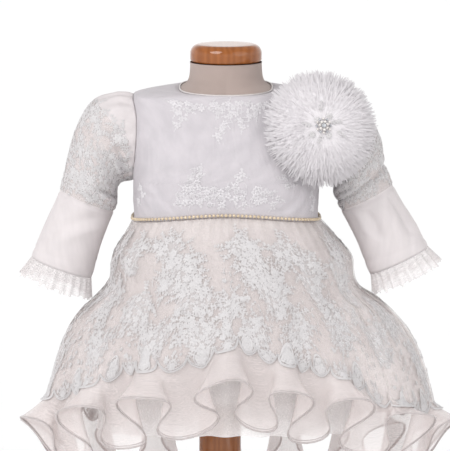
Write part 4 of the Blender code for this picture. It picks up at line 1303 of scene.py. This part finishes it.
def inner_layer(hem, drawn, drawn_at_hem, folds, depth_of_fold, seed):
    """The sheet of an inner layer of the skirt, which hangs straight from the waist."""
    columns = folds * 14
    down, angle = crossed(np.linspace(0.0, 1.0, 40), 360.0 * np.arange(columns) / columns - 180.0)
    deep = hem[0] + (hem[1] - hem[0]) * (1 - cosine(angle)) / 2
    top = waist_lift(angle) - 1.2
    height = top + (-deep - top) * down
    sizes = [read(PETTICOAT, n, top - height) for n in ("width", "width", "front", "back", "power")]
    wander = 0.5 * np.sin(np.radians(angle) * 5 + seed)
    ripple = depth_of_fold * down * np.cos(np.radians(angle) * folds + wander)
    soft = 0.5 * down * uneven(angle * 2.0, height, 50.0, seed)
    inward = drawn + (drawn_at_hem - drawn) * down
    return Sheet(around(angle, ring_radius(angle, *sizes) - inward + ripple + soft, height), closed=True)


def inner_layers():
    """The net petticoat, and the lining inside it."""
    petticoat = inner_layer(PETTICOAT_HEM, 0.0, 0.0, 20, 4.0, 3)
    put_cloth("petticoat_net_sheet", petticoat, "net", "net", "petticoat_net")
    lining = inner_layer(LINING_HEM, LINING_INSIDE, LINING_INSIDE_AT_HEM, 12, 1.0, 5)
    put_cloth("lining_sheet", lining, "lining", "lining", "skirt_lining")


def ball(radius, columns=10):
    """A pearl as points and faces."""
    rings = 7
    points = [(0.0, 0.0, radius)]
    for i in range(1, rings):
        flat, up = radius * math.sin(math.pi * i / rings), radius * math.cos(math.pi * i / rings)
        points += [(flat * math.cos(a), flat * math.sin(a), up) for a in turns(columns)]
    points.append((0.0, 0.0, -radius))
    faces = [(0, 1 + j, 1 + (j + 1) % columns) for j in range(columns)]
    faces += [tuple(i + 1 for i in face) for face in grid_faces(rings - 1, columns, True)]
    last = 1 + (rings - 2) * columns
    faces += [(len(points) - 1, last + (j + 1) % columns, last + j) for j in range(columns)]
    return np.array(points), faces


def waist_strand():
    """Cream pearls on a thread round the waist seam."""
    fine = np.linspace(-180.0, 180.0, 1441)[:-1]
    sizes = [np.full(fine.shape, SKIRT[n][0]) for n in ("right", "left", "front", "back", "power")]
    bead = 1.6
    path = around(fine, ring_radius(fine, *sizes) + bead + 0.6, waist_lift(fine) + 2.2)
    step = np.linalg.norm(np.roll(path, -1, axis=0) - path, axis=1)
    total = step.sum()
    count = int(total / (2 * bead * 1.24))
    far = np.concatenate([[0.0], np.cumsum(step)])[:-1]
    at = np.arange(count) * total / count
    points, faces = ball(bead, 11)
    beads = Many()
    for place in np.stack([np.interp(at, far, path[:, i]) for i in range(3)], axis=-1):
        beads.add(points + place, faces)
    beads.put("waist_pearl_beads", "pearl", "pearl", "waist_pearls")
    put_mesh("waist_pearl_thread", *tube(path[::8], 0.35, 5), "piping", "binding")


def neck_piping():
    angle = np.linspace(0.0, 360.0, 121)[:-1]
    radius = 0.8
    edge = bodice_point(angle, np.full(angle.shape, 132.0)) + np.array([0.0, 0.0, radius])
    put_mesh("neck_piping", *tube(edge, radius, 10), "piping", "binding", "neck_binding")


POMPOM_TURN = np.array(POMPOM_AXIS.to_track_quat("Z", "Y").to_matrix())


def on_pompom(points):
    """Points about the pompom's axis, brought to its place on the shoulder."""
    return points @ POMPOM_TURN.T + np.array(POMPOM_CENTRE)


def pompom_reach(tilt):
    """How far the net reaches from the pompom's middle."""
    return POMPOM_RADIUS * (0.70 + 0.30 * np.sin(tilt) ** 2)


def leaned(lean, swing):
    """Lean angles from the pompom's axis, drawn in so that the widest just keeps clear of the cloth."""
    place = (swing % (2 * np.pi)) / (2 * np.pi) * 24
    reach = np.interp(place, np.arange(25), POMPOM_REACH + POMPOM_REACH[:1])
    return lean * np.minimum(WIDEST_LEAN, reach) / WIDEST_LEAN


def pompom_heart():
    """The close inner part of the net ball, creased from its middle outward, under the strips' tips."""
    lean, swing = crossed(np.linspace(1.0, LAST_LEAN, 44), np.radians(np.arange(0, 360, 2.0)))
    tilt = np.radians(leaned(lean, swing))
    creased = 0.012 * np.sin(swing * 41 + 3 * np.sin(tilt * 4))
    creased += 0.010 * np.sin(swing * 73 + 5 * np.cos(tilt * 3))
    far = np.where(lean > 100.0, POMPOM_CORE, pompom_reach(tilt) * (0.85 + creased * clipped(tilt)))
    flat = far * np.sin(tilt)
    points = np.stack([flat * np.cos(swing), flat * np.sin(swing), far * np.cos(tilt)], axis=-1)
    put_mesh("pompom_heart", on_pompom(points.reshape(-1, 3)), grid_faces(44, 180, True), "fluff", "net")


def net_strip(k, share, draw):
    """One strip of the pompom: its points, three to a row, and the way that it is lit from."""
    low, high = cosine(10.0), cosine(LAST_LEAN)
    lean = math.degrees(math.acos(low + (high - low) * (k + 0.5) / POMPOM_STRIPS)) + draw.uniform(-3, 3)
    swing = k * GOLDEN_TURN + draw.uniform(-0.12, 0.12)
    tilt = math.radians(float(leaned(min(LAST_LEAN, max(8.0, lean)), swing)))
    way = np.array([math.sin(tilt) * math.cos(swing), math.sin(tilt) * math.sin(swing), math.cos(tilt)])
    side = np.array([-math.sin(swing), math.cos(swing), 0.0])
    twist = draw.uniform(-0.6, 0.6)
    other = np.cross(way, side)
    flat = side * math.cos(twist) + other * math.sin(twist)
    proud = np.cross(flat, way)
    length = pompom_reach(tilt) * draw.uniform(0.86, 1.0)
    root = length * STRIP_ROOT
    fall = 15.0 * max(0.0, math.cos(tilt))
    wide, curl, wander = draw.uniform(1.3, 2.4), draw.uniform(-2.5, 2.5), draw.uniform(0, 6.3)
    half = wide / 2 * np.array([[0.6], [1.0], [1.0], [0.75], [0.2]])
    fold = proud * 0.18 * half
    middle = way * (root + (length - root) * share) - other * (fall * share**1.5)
    middle += proud * (curl * share**2 + 0.4 * np.sin(share * 5 + wander))
    points = np.stack([middle - flat * half + fold, middle - fold * 0.5, middle + flat * half + fold], axis=1)
    return points.reshape(-1, 3), way + 0.45 * other - 0.25 * proud


def pompom():
    """A ball of narrow strips of net, cut in points."""
    strips = Many()
    draw = np.random.default_rng(77)
    share = np.linspace(0.0, 1.0, 5)[:, None]
    faces = [face[:1] + face[:0:-1] for face in strip_faces(5)]
    facings = []
    for k in range(POMPOM_STRIPS):
        points, facing = net_strip(k, share, draw)
        strips.add(on_pompom(points), faces)
        facings.append(np.repeat(unit(facing)[None] @ POMPOM_TURN.T, len(points), axis=0))
    ball_net = strips.put("pompom_strips", "fluff", "net", "pompom")
    # Each strip is lit as a tuft of the ball is, not as a flat ribbon.
    ball_net.data.normals_split_custom_set_from_vertices(np.concatenate(facings).tolist())


def brooch():
    """Pearls and stones in rings on the pompom's middle, with a few lace flowers about them."""
    seat = POMPOM_RADIUS * STRIP_ROOT + 3.0
    pearls, stones, motif = Many(), Many(), Many()
    for ring, number, radius, rise in ((0.0, 1, 2.4, 3.0), (3.9, 7, 1.5, 1.8), (6.8, 12, 1.2, 0.2)):
        for i in range(number):
            a = 2 * np.pi * i / number + ring
            place = np.array([ring * math.cos(a), ring * math.sin(a), seat + rise])
            shape, faces = ball(radius)
            target = stones if ring < 1.0 or ring > 6.0 and i % 2 else pearls
            target.add(on_pompom(shape + place), faces)
    for i in range(9):
        a = 2 * np.pi * i / 9 + 0.3
        far = 8.0 + 3.0 * (i % 3)
        shape, faces = FLORETS[i % 3] if i % 2 else sprig(11.0, 3, 0.2)
        size = 3.6 if i % 2 else 1.0
        place = (far * math.cos(a), far * math.sin(a), seat - 0.5)
        motif.add(on_pompom(spun(shape, a - math.pi / 2) * (size, size, 1.0) + place), faces)
    pin, faces = tube([(0, 0, POMPOM_CORE), (0, 0, seat + 1.0)], 2.6, 8, closed=False)
    pearls.add(on_pompom(pin), faces)
    pearls.put("brooch_pearls", "bead", "pearl", "pompom_brooch")
    stones.put("brooch_stones", "stone", "pearl", smooth=False)
    motif.put("brooch_lace", "thread", "lace")


def linked(obj):
    bpy.context.scene.collection.objects.link(obj)
    return obj


def camera():
    """The view: from far off in front, and a little above the waist."""
    elevation = math.radians(8.5)
    distance = 4.0
    picture_width = 0.450
    target = Vector((5.0, 0.0, WAIST_Z - 6.5 / math.cos(elevation))) * MM
    way = Vector((0.0, -math.cos(elevation), math.sin(elevation)))
    data = bpy.data.cameras.new("camera")
    data.sensor_fit = "HORIZONTAL"
    data.sensor_width = 36.0
    data.lens = data.sensor_width * distance / picture_width
    data.clip_end = 100.0
    view = linked(bpy.data.objects.new("camera", data))
    view.location = target + way * distance
    view.rotation_euler = way.to_track_quat("Z", "Y").to_euler()
    bpy.context.scene.camera = view


def lights():
    """A soft key from the wearer's right and above, and a softer fill from the other side."""
    for name, side, height, spread, strength in (
        ("soft_key", -40.0, 42.0, 34.0, 1.63),
        ("soft_fill", 50.0, 26.0, 50.0, 0.52),
    ):
        light = bpy.data.lights.new(name, "SUN")
        light.angle = math.radians(spread)
        light.energy = strength
        turn, rise = math.radians(side), math.radians(height)
        flat = math.cos(rise)
        towards = Vector((flat * math.sin(turn), -flat * math.cos(turn), math.sin(rise)))
        linked(bpy.data.objects.new(name, light)).rotation_euler = towards.to_track_quat("Z", "Y").to_euler()


def studio():
    """A pale room, brightest low down, and its floor."""
    world = bpy.data.worlds.new("studio")
    world.use_nodes = True
    tree = world.node_tree
    way = node(tree, "ShaderNodeSeparateXYZ", Vector=node(tree, "ShaderNodeTexCoord").outputs["Generated"])
    greys = [(place, (grey,) * 3) for place, grey in ((0.0, 1.0), (0.28, 0.9), (0.6, 0.38))]
    tree.links.new(ramp(tree, way.outputs["Z"], greys), tree.nodes["Background"].inputs["Color"])
    tree.nodes["Background"].inputs["Strength"].default_value = 1.26
    bpy.context.scene.world = world
    bpy.context.scene.view_settings.view_transform = "Standard"

    floor = bpy.data.meshes.new("floor")
    reach = 30.0
    corners = [(-reach, -reach, 0.0), (reach, -reach, 0.0), (reach, reach, 0.0), (-reach, reach, 0.0)]
    floor.from_pydata(corners, [], [(0, 1, 2, 3)])
    floor.materials.append(start_material("pale_floor", 0.9, Base_Color=(0.985, 0.985, 0.985, 1.0))[0])
    linked(bpy.data.objects.new("floor", floor))


def angle_at(x, height):
    """The angle round the front of the bodice that lies x to the side of its middle."""
    angles = np.linspace(-90.0, 90.0, 361)
    across = bodice_point(angles, np.full(angles.shape, float(height)))[:, 0] - BODY_X
    return float(np.interp(x, across, angles))


def bodice_place(angle, height):
    """u and v of the bodice's front at an angle and a height above the waist."""
    start, end = bodice_ends(-90.0, 90.0, np.array([float(height)]))
    v = np.interp(-height, -BODICE_ROWS, np.linspace(0.0, 1.0, len(BODICE_ROWS)))
    return float((angle - start[0]) / (end - start)[0]), float(v)


# Lace flowers of the bodice: how far to the side of its middle, and the height above the waist.
NECK_FLOWERS = (
    (-52, 122), (-45, 121), (-38, 122), (-31, 118), (-24, 117), (-47, 113), (-44, 107), (-47, 101),
    (-37, 115), (-14, 121), (-9, 119), (-3, 117), (2, 122), (7, 118), (14, 122), (21, 121), (27, 118),
    (33, 120), (40, 121), (4, 110), (-1, 104), (-4, 98), (-8, 92), (-8, 113), (10, 112), (14, 106),
    (17, 100), (23, 110), (29, 112),
)
WAIST_FLOWERS = (
    (-26, 58), (-32, 52), (-26, 50), (-36, 44), (-29, 43), (-40, 36), (-33, 36), (-26, 36), (-47, 29),
    (-40, 28), (-33, 28), (-26, 28), (-19, 31), (-12, 34), (-5, 31), (2, 35), (9, 39), (13, 46), (16, 52),
    (10, 31), (-19, 23), (-12, 25), (-5, 23), (2, 26), (9, 22), (-47, 20), (-40, 19), (-33, 19), (-26, 19),
    (-16, 16), (-4, 15), (16, 24), (18, 16), (30, 35), (36, 30), (29, 27), (44, 30), (51, 25), (38, 22),
    (30, 19), (46, 18), (58, 47), (65, 42), (72, 47), (66, 51), (60, 39), (84, 30), (86, 22), (85, 14),
    (-84, 36), (-82, 28), (-86, 21),
)


def bodice_lace(sheet):
    """Sprays of lace flowers sewn along the neckline and above the waist."""
    work = Embroidery(sheet, 0.35)
    draw = np.random.default_rng(700)
    lowest = 0.985
    for x, height in NECK_FLOWERS + WAIST_FLOWERS:
        u, v = bodice_place(angle_at(x, height), height)
        flower, spin, size = FLORETS[draw.integers(0, 3)], draw.uniform(0, 6.3), draw.uniform(3.3, 4.2)
        work.lay(flower, u, v, spin, size, 2.0, lowest)
        work.lay(ring_shape(0.9, 0.5, 1.7, 8), u, v, limit=lowest)
        for _ in range(2):
            turn = draw.uniform(0, 6.3)
            leaf = sprig(draw.uniform(4.0, 6.5), 2, draw.uniform(-0.4, 0.4))
            foot = work.beside(u, v, -3.0 * math.sin(turn), 3.0 * math.cos(turn))
            work.lay(leaf, *foot, turn, limit=lowest)
            by_it = work.beside(u, v, 4.6 * math.cos(turn), 4.6 * math.sin(turn))
            work.lay(FLORETS[0], *by_it, turn, draw.uniform(1.3, 1.9), 0.9, lowest)
    work.many.put("bodice_embroidery", "bright_thread", "lace")


def lace_start(u):
    """The section where a sleeve's lace starts: low on the shoulder, and at the armhole underneath."""
    return 0.45 + 1.75 * clipped(np.cos(2 * np.pi * u)) ** 0.7


def sleeve_lace(made):
    """Lace laid over the upper part of each sleeve, down to the elbow seam."""
    for word, sheet in made.items():
        u = np.arange(132) / 132
        start = lace_start(u)
        section = start + (SLEEVE_LACE_END - start) * np.linspace(0.0, 1.0, 46)[:, None]
        ground = Sheet(sheet.read(np.broadcast_to(u, section.shape), section / CUFF, 0.4), closed=True)
        put_cloth(f"sleeve_{word}_lace_ground", ground, "sleeve_net", "lace")
        work = Embroidery(sheet, 0.5)
        draw = np.random.default_rng(800 if word == "left" else 820)
        for row in range(6):
            for k in range(8):
                u = (k + 0.5 * (row % 2)) / 8 + draw.uniform(-0.02, 0.02)
                top = lace_start(u) + 0.45
                section = top + (5.45 - top) * (row + draw.uniform(-0.2, 0.2)) / 5
                flowers = int(draw.integers(3, 6))
                seed = 830 + 10 * row + k
                work.bouquet(u, section / CUFF, 10, 8, flowers, seed, SLEEVE_LACE_END / CUFF)
        work.many.put(f"sleeve_{word}_embroidery", "thread", "lace")
        work.filling.put(f"sleeve_{word}_lace_filling", "filling", "lace")


def buttons():
    """The four back buttons, their cord loops and the edge of the placket that they close."""
    loops = Many()
    turn = np.radians(np.linspace(130.0, -130.0, 19))
    across = np.concatenate([[-9.0, -6.0], LOOP_RADIUS * np.cos(turn), [-6.0, -9.0]])
    up = np.concatenate([[1.0, 2.4], LOOP_RADIUS * np.sin(turn), [-2.4, -1.0]])
    for number, height in enumerate(BUTTON_HEIGHTS, 1):
        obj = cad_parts[f"back_button_{number}"]
        obj.data.materials.clear()
        obj.data.materials.append(MATERIALS["pearl"])
        path = bodice_point(180.0 - np.degrees(across / BODICE_ROUND), height + up)
        loops.add(*tube(path + np.array([0.0, 0.9, 0.0]), 0.45, 6, closed=False))
    loops.put("button_loops", "piping", "binding")
    line = bodice_point(np.full(60, 183.2), np.linspace(2.0, 128.0, 60)) + np.array([0.0, 0.75, 0.0])
    put_mesh("placket_stitch", *tube(line, 0.35, 5, closed=False), "piping", "binding")


camera()
lights()
studio()
stand()
torso()
bodice_lace(bodice())
sleeve_lace(sleeves())
skirt()
inner_layers()
waist_strand()
neck_piping()
buttons()
pompom()
pompom_heart()
brooch()
